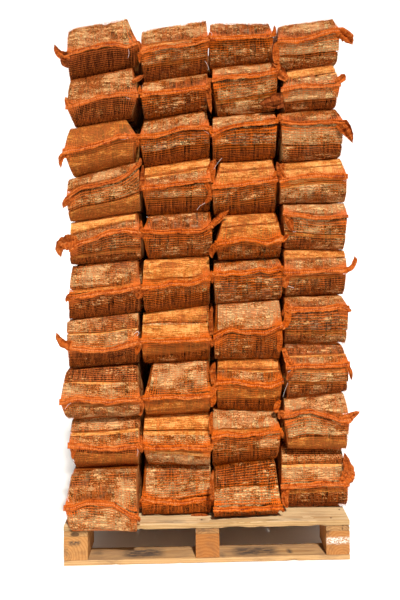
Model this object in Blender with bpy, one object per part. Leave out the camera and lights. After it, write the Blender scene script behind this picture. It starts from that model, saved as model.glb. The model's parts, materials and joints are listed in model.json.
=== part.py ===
# A pallet load of sacks: net bags of split firewood stacked ten high on a nine-block
# timber pallet. Units are metres, +Z is up, the front of the load faces -Y, and the
# origin is the centre of the footprint at floor level.
import bmesh
import bpy
from mathutils import Vector

MM = 0.001
SEAT_GAP = 0.3  # clearance left between timbers and sacks that rest on each other, mm

# Pallet, mm
PALLET_LENGTH = 1200.0  # along X, the side the photo shows
PALLET_DEPTH = 1000.0  # along Y
BOARD_THICKNESS = 22.0
BOARD_EDGE_BEVEL = 1.5
DECK_BOARD_WIDTH = 130.0
DECK_BOARD_COUNT = 5
STRINGER_WIDTH = 100.0
BLOCK_WIDTH = 100.0  # along X
BLOCK_DEPTH = 145.0  # along Y
BLOCK_HEIGHT = 99.7
BLOCK_EDGE_BEVEL = 3.0
BOTTOM_BOARD_WIDTH = 100.0

BLOCK_CENTRES_X = (-550.0, 0.0, 550.0)
BLOCK_CENTRES_Y = (-427.5, 0.0, 427.5)
BOTTOM_BOARD_CENTRES_Y = (-450.0, 0.0, 450.0)

BLOCK_BASE = BOARD_THICKNESS + SEAT_GAP
STRINGER_BASE = BLOCK_BASE + BLOCK_HEIGHT + SEAT_GAP
DECK_BASE = STRINGER_BASE + BOARD_THICKNESS + SEAT_GAP
DECK_TOP = DECK_BASE + BOARD_THICKNESS

# Sacks, mm
LAYER_COUNT = 10
COLUMN_COUNT = 4
SACK_LENGTH = 432.0  # sewn bottom to gathered mouth, along Y
MOUTH_CLEARANCE = 16.0  # from the middle plane of the load to a gathered mouth
SEAM_HALF_HEIGHT = 9.0  # half the thickness of the sack at its sewn bottom
SHOULDER_DEPTH = 14.0  # behind the seam, where the sack has opened to about 60 %
SHOULDER_OPENING_ABOVE = 0.55
SHOULDER_OPENING_BELOW = 0.7
FACET_DEPTH = 46.0  # behind the seam, where the sack has its full height
CORNER_CHAMFER = 30.0
MOUTH_TAPER_LENGTH = 62.0
MOUTH_OPENING = 0.7
MOUTH_SIDE_INSET = 26.0
NECK_HALF_SIZE = 34.0
NECK_STEP = 4.0

# Nominal left and right limits of each column; the layer heights are given there.
COLUMN_SPANS = ((-590.0, -280.0), (-270.0, 25.0), (38.0, 325.0), (335.0, 612.0))

# Height of the top of each layer at the left and right of the column, bottom layer first.
LAYER_TOPS = (
    ((372, 380), (587, 596), (800, 819), (1011, 1043), (1248, 1270),
     (1435, 1477), (1622, 1697), (1842, 1892), (2045, 2108), (2268, 2305)),
    ((380, 370), (592, 604), (816, 831), (1039, 1069), (1270, 1286),
     (1458, 1478), (1669, 1714), (1877, 1924), (2038, 2080), (2260, 2298)),
    ((370, 398), (616, 600), (835, 835), (1070, 1090), (1262, 1273),
     (1457, 1469), (1688, 1707), (1887, 1913), (2097, 2130), (2290, 2285)),
    ((440, 433), (655, 683), (896, 889), (1100, 1105), (1310, 1302),
     (1505, 1509), (1686, 1707), (1903, 1925), (2087, 2120), (2275, 2303)),
)

# Left and right side of each sack, bottom layer first.
SACK_SIDES = (
    ((-590, -290), (-585, -282), (-615, -279), (-585, -285), (-580, -274),
     (-570, -272), (-582, -274), (-593, -280), (-577, -277), (-575, -271)),
    ((-279, 18), (-273, 18), (-266, 25), (-272, 23), (-265, 24),
     (-263, 34), (-261, 30), (-272, 28), (-262, 26), (-262, 28)),
    ((29, 318), (26, 320), (47, 329), (38, 329), (39, 335),
     (49, 332), (38, 317), (40, 319), (43, 322), (31, 306)),
    ((324, 615), (335, 615), (346, 615), (341, 615), (342, 612),
     (340, 615), (329, 615), (336, 605), (339, 590), (328, 593)),
)

# Height of the sewn seam at the left and right corner of each front sack.
SEAM_HEIGHTS = (
    ((211, 190), (485, 480), (673, 673), (904, 919), (1110, 1156),
     (1336, 1392), (1554, 1640), (1736, 1798), (1935, 1978), (2158, 2187)),
    ((262, 253), (481, 465), (682, 702), (934, 933), (1161, 1186),
     (1392, 1404), (1574, 1607), (1801, 1823), (1978, 2007), (2169, 2209)),
    ((204, 204), (523, 529), (743, 750), (942, 985), (1209, 1225),
     (1336, 1355), (1571, 1605), (1811, 1858), (2029, 2055), (2213, 2222)),
    ((296, 305), (591, 575), (805, 810), (1049, 1045), (1216, 1212),
     (1456, 1448), (1601, 1619), (1854, 1850), (1991, 2008), (2196, 2243)),
)

# Distance of the seam behind the pallet's front edge, left and right; minus overhangs.
SEAM_SETBACKS = (
    ((-18, -20), (45, 45), (30, 35), (40, 45), (50, 45), (45, 50), (40, 40), (45, 50), (40, 45), (45, 50)),
    ((72, 75), (55, 50), (50, 50), (50, 45), (45, 50), (50, 45), (55, 50), (50, 50), (45, 45), (50, 40)),
    ((5, 35), (40, 45), (45, 40), (40, 35), (50, 50), (35, 40), (50, 55), (45, 50), (40, 45), (50, 45)),
    ((78, 72), (45, 40), (40, 45), (45, 40), (45, 50), (40, 45), (50, 45), (45, 45), (50, 45), (50, 50)),
)

PALLET_COLLECTION = "pallet_of_sacks"


def clear_scene():
    for item in list(bpy.data.objects):
        bpy.data.objects.remove(item)


def make_collection():
    collection = bpy.data.collections.new(PALLET_COLLECTION)
    bpy.context.scene.collection.children.link(collection)
    return collection


def make_material(name, colour, roughness):
    material = bpy.data.materials.new(name)
    material.use_nodes = True
    shader = material.node_tree.nodes["Principled BSDF"]
    shader.inputs["Base Color"].default_value = (*colour, 1.0)
    shader.inputs["Roughness"].default_value = roughness
    material.diffuse_color = (*colour, 1.0)
    return material


def add_object(collection, name, mesh, material):
    item = bpy.data.objects.new(name, mesh)
    mesh.materials.append(material)
    collection.objects.link(item)
    return item


def add_timber(collection, name, size, base_centre, bevel, material):
    """A sawn board or block standing on base_centre; sizes in mm."""
    shape = bmesh.new()
    bmesh.ops.create_cube(shape, size=1.0)
    bmesh.ops.scale(shape, vec=Vector(size) * MM, verts=shape.verts)
    centre = Vector((base_centre[0], base_centre[1], base_centre[2] + size[2] / 2)) * MM
    bmesh.ops.translate(shape, vec=centre, verts=shape.verts)
    bmesh.ops.bevel(shape, geom=shape.edges[:], offset=bevel * MM, segments=1, affect="EDGES")
    bmesh.ops.recalc_face_normals(shape, faces=shape.faces)
    mesh = bpy.data.meshes.new(name)
    shape.to_mesh(mesh)
    shape.free()
    return add_object(collection, name, mesh, material)


def add_pallet(collection, materials):
    pitch = (PALLET_DEPTH - DECK_BOARD_WIDTH) / (DECK_BOARD_COUNT - 1)
    for index in range(DECK_BOARD_COUNT):
        y = -PALLET_DEPTH / 2 + DECK_BOARD_WIDTH / 2 + pitch * index
        add_timber(collection, f"deck_board_{index + 1}",
                   (PALLET_LENGTH, DECK_BOARD_WIDTH, BOARD_THICKNESS),
                   (0, y, DECK_BASE), BOARD_EDGE_BEVEL, materials["deck"])
    for index, x in enumerate(BLOCK_CENTRES_X):
        add_timber(collection, f"stringer_board_{index + 1}",
                   (STRINGER_WIDTH, PALLET_DEPTH, BOARD_THICKNESS),
                   (x, 0, STRINGER_BASE), BOARD_EDGE_BEVEL, materials["stringer"])
        for row, y in enumerate(BLOCK_CENTRES_Y):
            add_timber(collection, f"block_{index + 1}_{row + 1}",
                       (BLOCK_WIDTH, BLOCK_DEPTH, BLOCK_HEIGHT),
                       (x, y, BLOCK_BASE), BLOCK_EDGE_BEVEL, materials["block"])
    for index, y in enumerate(BOTTOM_BOARD_CENTRES_Y):
        add_timber(collection, f"bottom_board_{index + 1}",
                   (PALLET_LENGTH, BOTTOM_BOARD_WIDTH, BOARD_THICKNESS),
                   (0, y, 0), BOARD_EDGE_BEVEL, materials["bottom"])


def line_at(span, ends, x):
    share = (x - span[0]) / (span[1] - span[0])
    return ends[0] + share * (ends[1] - ends[0])


def turned_span(span):
    """Left and right limits after half a turn about the Z axis."""
    return -span[1], -span[0]


def section_ring(sack, below, above, inset, y_ends):
    """Eight points round the sack: below and above are the shares of the full opening."""
    left = sack["sides"][0] + inset
    right = sack["sides"][1] - inset
    chamfer = 4.0 + (CORNER_CHAMFER - 4.0) * min(below, above) ** 2
    stations = (left, left + chamfer, right - chamfer, right)
    bottom = []
    top = []
    for x in stations:
        seam = line_at(sack["sides"], sack["seam"], x)
        floor = line_at(sack["span"], sack["bottom"], x) + SEAT_GAP / 2
        roof = line_at(sack["span"], sack["top"], x) - SEAT_GAP / 2
        low = seam - SEAM_HALF_HEIGHT
        high = seam + SEAM_HALF_HEIGHT
        bottom.append(low + (floor - low) * below)
        top.append(high + (roof - high) * above)
    lift = chamfer * 0.8
    heights = (bottom[0] + lift, bottom[1], bottom[2], bottom[3] + lift,
               top[3] - lift, top[2], top[1], top[0] - lift)
    xs = (left, stations[1], stations[2], right, right, stations[2], stations[1], left)
    ring = []
    for x, z in zip(xs, heights):
        ring.append(Vector((x, line_at(sack["sides"], y_ends, x), z)) * MM)
    return ring


def sack_middle(sack):
    x = (sack["sides"][0] + sack["sides"][1]) / 2
    z = (sum(sack["bottom"]) + sum(sack["top"])) / 4
    return x, z


def neck_ring(neck, y):
    """A small square ring where the gathered mouths meet, with the same eight points."""
    x, z = neck
    half = NECK_HALF_SIZE
    cut = half * 0.5
    offsets = ((-half, -cut), (-cut, -half), (cut, -half), (half, -cut),
               (half, cut), (cut, half), (-cut, half), (-half, cut))
    return [Vector((x + dx, y, z + dz)) * MM for dx, dz in offsets]


def sack_rings(sack, neck, facing):
    """Rings from the sewn bottom inwards; facing is -1 for a front sack, +1 for a rear one."""
    edge = PALLET_DEPTH / 2
    seam_y = [facing * (edge - setback) for setback in sack["setbacks"]]
    mouth_y = facing * max(MOUTH_CLEARANCE, edge - sum(sack["setbacks"]) / 2 - SACK_LENGTH)

    def behind(distance):
        return [y - facing * distance for y in seam_y]

    shoulder_above = SHOULDER_OPENING_ABOVE
    shoulder_below = SHOULDER_OPENING_BELOW
    taper_start = mouth_y + facing * MOUTH_TAPER_LENGTH
    return [
        section_ring(sack, 0.0, 0.0, 0.0, seam_y),
        section_ring(sack, shoulder_below, shoulder_above, 0.0, behind(SHOULDER_DEPTH)),
        section_ring(sack, 1.0, 1.0, 0.0, behind(FACET_DEPTH)),
        section_ring(sack, 1.0, 1.0, 0.0, [taper_start, taper_start]),
        section_ring(sack, MOUTH_OPENING, MOUTH_OPENING, MOUTH_SIDE_INSET, [mouth_y, mouth_y]),
        neck_ring(neck, mouth_y - facing * NECK_STEP),
    ]


def front_sack(layer, column):
    bottom = (DECK_TOP + SEAT_GAP / 2, DECK_TOP + SEAT_GAP / 2)
    if layer > 0:
        bottom = LAYER_TOPS[column][layer - 1]
    return {
        "span": COLUMN_SPANS[column],
        "sides": SACK_SIDES[column][layer],
        "bottom": bottom,
        "top": LAYER_TOPS[column][layer],
        "seam": SEAM_HEIGHTS[column][layer],
        "setbacks": SEAM_SETBACKS[column][layer],
    }


def rear_sack(layer, column):
    """The hidden row is the front row after half a turn, so the gaps between columns stagger."""
    sack = front_sack(layer, COLUMN_COUNT - 1 - column)
    for key in ("span", "sides"):
        sack[key] = turned_span(sack[key])
    for key in ("bottom", "top", "seam", "setbacks"):
        sack[key] = sack[key][::-1]
    return sack


def loft(rings):
    """A closed skin through the rings, flat at both ends."""
    shape = bmesh.new()
    loops = []
    for ring in rings:
        loops.append([shape.verts.new(point) for point in ring])
    for near, far in zip(loops, loops[1:]):
        for index in range(len(near)):
            following = (index + 1) % len(near)
            shape.faces.new((near[index], near[following], far[following], far[index]))
    shape.faces.new(loops[0])
    shape.faces.new(loops[-1])
    bmesh.ops.triangulate(shape, faces=shape.faces[:])
    bmesh.ops.recalc_face_normals(shape, faces=shape.faces)
    return shape


def add_sack_pair(collection, layer, column, material):
    """Front and rear sack of one place, joined only where the gathered mouths meet."""
    name = f"sacks_layer_{layer + 1:02d}_column_{column + 1}"
    sacks = (front_sack(layer, column), rear_sack(layer, column))
    middles = [sack_middle(sack) for sack in sacks]
    neck = [sum(values) / 2 for values in zip(*middles)]
    front = sack_rings(sacks[0], neck, -1)
    rear = sack_rings(sacks[1], neck, 1)
    shape = loft(front + rear[::-1])
    mesh = bpy.data.meshes.new(name)
    shape.to_mesh(mesh)
    shape.free()
    return add_object(collection, name, mesh, material)


def main():
    clear_scene()
    collection = make_collection()
    materials = {
        "deck": make_material("deck_pine", (0.66, 0.48, 0.27), 0.75),
        "stringer": make_material("stringer_pine", (0.50, 0.35, 0.20), 0.8),
        "block": make_material("block_pine", (0.58, 0.36, 0.17), 0.8),
        "bottom": make_material("bottom_pine", (0.62, 0.43, 0.23), 0.8),
        "sack": make_material("net_sack", (0.62, 0.24, 0.07), 0.7),
    }
    add_pallet(collection, materials)
    for layer in range(LAYER_COUNT):
        for column in range(COLUMN_COUNT):
            add_sack_pair(collection, layer, column, materials["sack"])


main()
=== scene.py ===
import json
import math

import bpy
import numpy as np
from mathutils import Euler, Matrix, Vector
from mathutils.bvhtree import BVHTree

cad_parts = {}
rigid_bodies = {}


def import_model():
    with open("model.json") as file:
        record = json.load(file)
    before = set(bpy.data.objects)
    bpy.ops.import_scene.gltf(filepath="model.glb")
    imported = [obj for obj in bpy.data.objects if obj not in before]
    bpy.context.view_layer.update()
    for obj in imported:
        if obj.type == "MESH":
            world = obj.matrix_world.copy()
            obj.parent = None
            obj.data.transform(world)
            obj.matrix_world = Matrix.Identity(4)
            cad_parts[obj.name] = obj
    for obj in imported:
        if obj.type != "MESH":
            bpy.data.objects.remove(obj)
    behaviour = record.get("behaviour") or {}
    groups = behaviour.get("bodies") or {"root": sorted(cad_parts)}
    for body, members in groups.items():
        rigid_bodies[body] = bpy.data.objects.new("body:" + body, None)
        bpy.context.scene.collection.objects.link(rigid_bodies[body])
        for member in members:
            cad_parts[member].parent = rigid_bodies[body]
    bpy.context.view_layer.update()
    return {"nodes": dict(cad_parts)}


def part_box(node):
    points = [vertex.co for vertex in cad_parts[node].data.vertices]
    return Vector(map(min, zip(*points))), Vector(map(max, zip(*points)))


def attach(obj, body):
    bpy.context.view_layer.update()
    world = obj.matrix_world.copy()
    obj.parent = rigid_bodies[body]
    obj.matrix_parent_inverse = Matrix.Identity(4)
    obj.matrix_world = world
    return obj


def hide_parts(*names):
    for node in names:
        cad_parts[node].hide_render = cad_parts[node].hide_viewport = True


# Pallet load of firewood: knitted orange net sacks of split logs, ten high on a block pallet.
# The front of the load faces -Y. Everything is in metres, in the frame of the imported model.
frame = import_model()

load = {
    "layers": 10,
    "columns": 4,
    "seed": 4127,
}

photoCamera = {
    "place": (-0.0145, -2.990, 1.395),
    "yaw": -1.2,
    "roll": 0.626,
    "lens": 35.62,
    "sensor": 36.0,
    "shift": (-0.0218, -0.1163),
    "farthest": 60.0,
    "frame": (400, 600),
}


def cameraTurn():
    return Euler([math.radians(angle) for angle in (90, photoCamera["roll"], photoCamera["yaw"])])


def photoPoint(across, down, y):
    # the point at depth y that the camera sees at these photo pixels
    width, height = photoCamera["frame"]
    zoom = photoCamera["sensor"] / photoCamera["lens"]
    shiftX, shiftY = photoCamera["shift"]
    right, up = (across - width / 2) / height + shiftX, (height / 2 - down) / height + shiftY
    ray = cameraTurn().to_matrix() @ Vector((right * zoom, up * zoom, -1))
    start = Vector(photoCamera["place"])
    return start + ray * ((y - start.y) / ray.y)


def random(*key):
    return np.random.default_rng([load["seed"], *key])


def smooth(value):
    value = np.clip(value, 0.0, 1.0)
    return value * value * (3 - 2 * value)


# large odd numbers that scatter a whole-numbered place into a random value
scatter = {"place": (73856093, 19349663, 83492791), "seed": 7919, "stir": 1274126177}


def valueNoise(points, seed):
    # lumpy noise from -1 to 1, one lump for each unit of length
    cell = np.floor(points).astype(np.int64)
    part = smooth(points - cell)
    total = np.zeros(points.shape[:-1])
    for corner in range(8):
        step = np.array([corner & 1, corner >> 1 & 1, corner >> 2 & 1])
        x, y, z = np.moveaxis((cell + step) * scatter["place"], -1, 0)
        bits = x ^ y ^ z ^ seed * scatter["seed"]
        bits = (bits ^ (bits >> 13)) * scatter["stir"]
        value = (bits >> 8 & 65535) / 32767.5 - 1.0
        total += value * np.prod(np.where(step, part, 1 - part), axis=-1)
    return total


def newObject(name, points, faces, materials, faceMaterials=None):
    mesh = bpy.data.meshes.new(name)
    mesh.from_pydata(np.asarray(points).tolist(), [], faces)
    for material in materials:
        mesh.materials.append(material)
    if faceMaterials is not None:
        mesh.polygons.foreach_set("material_index", np.asarray(faceMaterials, np.int32))
    piece = bpy.data.objects.new(name, mesh)
    bpy.context.scene.collection.objects.link(piece)
    return piece


def addAttribute(piece, name, kind, values):
    attribute = piece.data.attributes.new(name, kind, "POINT")
    field = "vector" if kind == "FLOAT_VECTOR" else "value"
    attribute.data.foreach_set(field, np.asarray(values, np.float32).ravel())


def finishObject(piece, nodes, sharp):
    # smooth, but for edges sharper than this angle; it rides with the load and stands for these nodes
    piece.data.shade_smooth()
    piece.data.set_sharp_from_angle(angle=math.radians(sharp))
    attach(piece, "root")
    for node in nodes:
        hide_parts(node)


def joined(shells):
    # several shells as one: first come the points and the faces, then what each point or face carries
    faces, total = [], 0
    for points, shellFaces, *_ in shells:
        faces += [tuple(total + v for v in f) for f in shellFaces]
        total += len(points)
    points, _, *carried = zip(*shells)
    return (np.vstack(points), faces, *(np.concatenate(part) for part in carried))


def gridFaces(rows, columns, closed=True):
    # quads between rows of points; closed joins the last column to the first
    faces = []
    for row in range(rows - 1):
        a, b = row * columns, (row + 1) * columns
        for k in range(columns if closed else columns - 1):
            n = (k + 1) % columns
            faces.append((a + k, a + n, b + n, b + k))
    return faces


def capFaces(edge, first, count, rings, outwards):
    # the end of a closed tube: rings of points that start at first, inwards from its edge, then a middle point
    faces = []
    for _ in range(rings):
        for k in range(count):
            n = (k + 1) % count
            faces.append((edge + k, edge + n, first + n, first + k))
        edge, first = first, first + count
    faces += [(edge + k, edge + (k + 1) % count, first) for k in range(count)]
    return faces if outwards else [f[::-1] for f in faces]


def evened(line, times):
    # the running mean of five values, taken a few times over
    for _ in range(times):
        line = np.convolve(np.pad(line, 2, mode="edge"), np.ones(5) / 5, "valid")
    return line


def travelled(points):
    # how far along a line each of its points lies
    return np.concatenate([[0], np.cumsum(np.linalg.norm(np.diff(points, axis=0), axis=1))])


# Materials

def newMaterial(name, roughness, gloss):
    material = bpy.data.materials.new(name)
    material.use_nodes = True
    tree = material.node_tree
    shader = tree.nodes["Principled BSDF"]
    shader.inputs["Roughness"].default_value = roughness
    shader.inputs["Specular IOR Level"].default_value = gloss
    return material, tree, shader


def plug(tree, socket, value):
    if isinstance(value, bpy.types.NodeSocket):
        tree.links.new(value, socket)
    elif isinstance(value, (tuple, list)) and socket.type == "RGBA":
        socket.default_value = (*value[:3], 1.0)
    else:
        socket.default_value = value


def sums(tree, operation, a, b=0.0):
    # one step of arithmetic
    node = tree.nodes.new("ShaderNodeMath")
    node.operation = operation
    plug(tree, node.inputs[0], a)
    plug(tree, node.inputs[1], b)
    return node.outputs[0]


def weighted(tree, *terms):
    # the sum of (value, weight) pairs, each value counted from its own middle of 0.5
    total = 0.5
    for value, weight in terms:
        part = product(tree, sums(tree, "SUBTRACT", value, 0.5), weight)
        total = added(tree, part, total)
    return total


def vectors(tree, operation, a, b=(0.0, 0.0, 0.0)):
    node = tree.nodes.new("ShaderNodeVectorMath")
    node.operation = operation
    plug(tree, node.inputs[0], a)
    plug(tree, node.inputs[1], b)
    return node.outputs["Value" if operation in ("LENGTH", "DOT_PRODUCT") else "Vector"]


def scaled(tree, vector, x, y, z):
    return vectors(tree, "MULTIPLY", vector, (x, y, z))


def parted(tree, vector):
    node = tree.nodes.new("ShaderNodeSeparateXYZ")
    tree.links.new(vector, node.inputs[0])
    return node.outputs[0], node.outputs[1], node.outputs[2]


def product(tree, a, b):
    return sums(tree, "MULTIPLY", a, b)


def added(tree, a, b):
    return sums(tree, "ADD", a, b)


def offCentre(tree, value, middle):
    return sums(tree, "ABSOLUTE", sums(tree, "SUBTRACT", value, middle))


def mixed(tree, share, a, b, blend="MIX"):
    node = tree.nodes.new("ShaderNodeMix")
    node.data_type = "RGBA"
    node.blend_type = blend
    plug(tree, node.inputs[0], share)
    plug(tree, node.inputs[6], a)
    plug(tree, node.inputs[7], b)
    return node.outputs[2]


def noisy(tree, vector, scale, detail=3.0, roughness=0.55, distortion=0.0, output="Fac"):
    node = tree.nodes.new("ShaderNodeTexNoise")
    plug(tree, node.inputs["Vector"], vector)
    node.inputs["Scale"].default_value = scale
    node.inputs["Detail"].default_value = detail
    node.inputs["Roughness"].default_value = roughness
    node.inputs["Distortion"].default_value = distortion
    return node.outputs[output]


def cells(tree, vector, feature="DISTANCE_TO_EDGE", output="Distance"):
    node = tree.nodes.new("ShaderNodeTexVoronoi")
    node.feature = feature
    plug(tree, node.inputs["Vector"], vector)
    node.inputs["Scale"].default_value = 1.0
    return node.outputs[output]


def ramp(tree, value, *stops):
    node = tree.nodes.new("ShaderNodeValToRGB")
    plug(tree, node.inputs[0], value)
    elements = node.color_ramp.elements
    while len(elements) < len(stops):
        elements.new(0.5)
    for element, (place, colour) in zip(elements, stops):
        element.position = place
        element.color = (*colour, 1.0)
    return node.outputs["Color"]


def span(tree, value, low, high, start=0.0, end=1.0):
    node = tree.nodes.new("ShaderNodeMapRange")
    node.interpolation_type = "SMOOTHSTEP"
    plug(tree, node.inputs["Value"], value)
    for key, number in zip(("From Min", "From Max", "To Min", "To Max"), (low, high, start, end)):
        node.inputs[key].default_value = number
    return node.outputs["Result"]


def bumped(tree, shader, height, strength, distance):
    node = tree.nodes.new("ShaderNodeBump")
    plug(tree, node.inputs["Height"], height)
    node.inputs["Strength"].default_value = strength
    node.inputs["Distance"].default_value = distance
    tree.links.new(node.outputs["Normal"], shader.inputs["Normal"])


def attribute(tree, name, output="Fac"):
    node = tree.nodes.new("ShaderNodeAttribute")
    node.attribute_name = name
    return node.outputs[output]


def placeOn(tree, seedName=None):
    # a point on the piece in metres, shifted for each log so that no two logs match
    place = tree.nodes.new("ShaderNodeTexCoord").outputs["Object"]
    if seedName is None:
        return place
    seed = attribute(tree, seedName)
    shift = tree.nodes.new("ShaderNodeCombineXYZ")
    for axis, weight in enumerate((1.37, 0.71, 2.13)):
        plug(tree, shift.inputs[axis], product(tree, seed, weight))
    return vectors(tree, "ADD", place, shift.outputs[0])


barkLook = {
    # crack: painted shade, near black, in the fissures between bark plates
    "crack": (0.016, 0.0035, 0.0008),
    "dark": (0.060, 0.016, 0.003),
    "brown": (0.165, 0.064, 0.012),
    "tan": (0.520, 0.252, 0.068),
    "cream": (0.920, 0.620, 0.280),
    "grey": (0.330, 0.215, 0.115),
    "plate": (0.080, 0.0130),    # length and width of one bark plate
    "slab": (0.062, 0.042),      # and of a squarish patch of one tone
    "patch": (0.120, 0.055),     # and of a paler or darker patch
    "blotch": (0.036, 0.016),
    "fibre": (0.024, 0.0046),
    "speck": 0.0046,             # size of the fine light and dark specks
    "plateBend": (1.3, 1.6, 1.6),
    "slabBend": (0.7, 0.5, 0.5),
    # how much each counts: the log's paleness, patch, blotch, plate, slab, fibre, speck
    "strengths": (0.97, 2.35, 1.15, 0.80, 1.05, 0.95, 2.75),
    "stops": ((0.14, "dark"), (0.40, "brown"), (0.64, "tan"), (0.92, "cream")),
    "relief": 0.0044,
}


def makeBark():
    material, tree, shader = newMaterial("log_bark", 0.85, 0.06)
    place = placeOn(tree, "logSeed")
    paleness, fissured, greyness = parted(tree, attribute(tree, "logLook", "Vector"))

    def stretched(key):
        length, width = barkLook[key]
        return scaled(tree, place, 1 / length, 1 / width, 1 / width)

    def toneOf(shapes):
        return vectors(tree, "DOT_PRODUCT", cells(tree, shapes, "F1", "Color"), (0.34, 0.33, 0.33))

    wobble = noisy(tree, place, 60.0, 2.0, output="Color")
    plates = vectors(tree, "ADD", stretched("plate"), scaled(tree, wobble, *barkLook["plateBend"]))
    slabs = vectors(tree, "ADD", stretched("slab"), scaled(tree, wobble, *barkLook["slabBend"]))
    gap = span(tree, cells(tree, plates), 0.04, 0.27)
    crack = product(tree, sums(tree, "SUBTRACT", 1.0, gap), fissured)
    patch = noisy(tree, stretched("patch"), 1.0, 2.0, 0.5, 0.4)
    blotch = noisy(tree, stretched("blotch"), 1.0, 2.0, 0.55, 0.3)
    fibre = noisy(tree, stretched("fibre"), 1.0, 2.0, 0.6)
    speck = noisy(tree, place, 1 / barkLook["speck"], 2.0, 0.7)
    value = weighted(tree, *zip((paleness, patch, blotch, toneOf(plates), toneOf(slabs), fibre, speck),
                                barkLook["strengths"]))
    colour = ramp(tree, value, *((stop, barkLook[name]) for stop, name in barkLook["stops"]))
    lichen = span(tree, noisy(tree, place, 26.0, 2.0, 0.5), 0.46, 0.62)
    colour = mixed(tree, product(tree, lichen, greyness), colour, barkLook["grey"])
    # painted shade: the fissures between the plates are painted near black
    colour = mixed(tree, crack, colour, barkLook["crack"])
    plug(tree, shader.inputs["Base Color"], colour)
    height = weighted(tree, (gap, 1.0), (speck, 0.7), (fibre, 0.6))
    bumped(tree, shader, height, 1.0, barkLook["relief"])
    return material


splitLook = {
    "pale": (0.860, 0.470, 0.140),
    "gold": (0.540, 0.208, 0.029),
    "brown": (0.215, 0.068, 0.010),
    # tear: painted shade in the slits between torn fibres
    "tear": (0.060, 0.018, 0.004),
    "stops": ((0.16, "brown"), (0.48, "gold"), (0.90, "pale")),
    # how many to a metre, along the log and across it
    "grain": (11.0, 120.0),
    "broad": (14.0, 30.0),
    "fibre": (60.0, 240.0),
    "tears": (16.0, 150.0),
    "speck": 170.0,
}


def makeSplitWood():
    material, tree, shader = newMaterial("log_split_face", 0.7, 0.12)
    place = placeOn(tree, "logSeed")
    paleness, torn, _ = parted(tree, attribute(tree, "logLook", "Vector"))

    def stretched(key):
        along, across = splitLook[key]
        return scaled(tree, place, along, across, across)

    grain = noisy(tree, stretched("grain"), 1.0, 3.0, 0.6, 0.5)
    broad = noisy(tree, stretched("broad"), 1.0, 3.0, 0.6, 0.5)
    fibre = noisy(tree, stretched("fibre"), 1.0, 2.0, 0.7)
    speck = noisy(tree, place, splitLook["speck"], 2.0, 0.7)
    value = weighted(tree, (paleness, 0.9), (grain, 1.1), (broad, 2.0), (fibre, 1.3), (speck, 1.4))
    colour = ramp(tree, value, *((stop, splitLook[name]) for stop, name in splitLook["stops"]))
    tears = noisy(tree, stretched("tears"), 1.0, 2.0, 0.5, 0.8)
    tear = product(tree, span(tree, tears, 0.38, 0.29), added(tree, torn, 0.35))
    # painted shade: the slits between torn fibres are darkened
    colour = mixed(tree, tear, colour, splitLook["tear"])
    plug(tree, shader.inputs["Base Color"], colour)
    bumped(tree, shader, weighted(tree, (grain, 1.0), (tear, -0.8), (fibre, 0.6), (speck, 0.4)), 0.9, 0.003)
    return material


endLook = {
    "early": (0.640, 0.350, 0.130),
    "late": (0.360, 0.160, 0.050),
    "stain": (0.200, 0.085, 0.030),
    # check: painted shade in the cracks of a sawn end
    "check": (0.060, 0.022, 0.008),
    "ringWidth": 0.0042,
    "ringWave": 0.006,    # how far the rings wander
    "stained": 0.7,
}


def makeEndGrain():
    material, tree, shader = newMaterial("log_end_grain", 0.8, 0.08)
    place = placeOn(tree, "logSeed")
    point = attribute(tree, "ringPoint", "Vector")
    wobble = noisy(tree, place, 45.0, 3.0)
    radius = added(tree, vectors(tree, "LENGTH", point), product(tree, wobble, endLook["ringWave"]))
    rings = sums(tree, "SINE", product(tree, radius, 2 * math.pi / endLook["ringWidth"]))
    rings = span(tree, rings, -0.8, 0.9)
    rays = noisy(tree, scaled(tree, vectors(tree, "NORMALIZE", point), 9.0, 9.0, 9.0), 1.0, 2.0)
    check = span(tree, rays, 0.36, 0.30)
    colour = mixed(tree, rings, endLook["late"], endLook["early"])
    stain = span(tree, noisy(tree, place, 28.0, 3.0), 0.60, 0.35)
    colour = mixed(tree, product(tree, stain, endLook["stained"]), colour, endLook["stain"])
    # painted shade in the checks
    colour = mixed(tree, check, colour, endLook["check"])
    plug(tree, shader.inputs["Base Color"], colour)
    bumped(tree, shader, weighted(tree, (check, -0.8), (rings, 0.3)), 0.5, 0.001)
    return material


netLook = {
    "orange": (0.625, 0.112, 0.002),
    "coral": (0.620, 0.132, 0.016),
    # shaded: painted shade for the hem's folds, its crease and the holes of its knit
    "shaded": (0.230, 0.028, 0.002),
    "wearAndHighlight": (0.740, 0.240, 0.060),
    "seam": (0.860, 0.480, 0.300),
    "brown": (0.110, 0.022, 0.006),    # a loose end in the load's own shade
    "wale": 0.0060,       # distance between the knitted ribs along the sack
    "course": 0.0068,     # distance between the cross threads
    "open": 0.860,        # share of each cell that is open, both ways
    "nearHem": 0.055,     # how much tighter the net lies beside the hem
    "nearHemReach": (0.003, 0.020),
    "gathers": 0.0090,    # distance between the bunched ribs
    "gatherLength": 0.085,
    "gatherDepth": 0.31,
    "bunched": 0.30,      # how much tighter the net lies round the ends of the hem
    "pleat": 0.0060,      # distance between the small creases across a hem
    "fold": 0.0055,       # and between those along it
    "stitch": 0.0090,     # one stitch of the sewn hem
    "stitchHalf": 0.27,   # half the share of it that shows
    "stitchLine": 0.0175, # how far the stitches lie from the top of the hem
    "crease": 0.0115,     # and the fold that runs along its middle
    "creaseSway": 0.012,
    "hemSway": 0.022,     # how far the small creases wander
    "hemKnit": 3.6,       # how much finer the knit looks on a hem
    "thread": ((0.82, 0.72, 0.68), (0.95, 0.92, 0.90)),
}


def netColour(tree, place):
    # the net's dye differs from sack to sack, and it has faded in patches
    tone = attribute(tree, "netTone")
    fade = noisy(tree, place, 45.0, 3.0, 0.6)
    share = weighted(tree, (tone, 1.0), (fade, 1.1))
    return mixed(tree, share, netLook["orange"], netLook["coral"])


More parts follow.
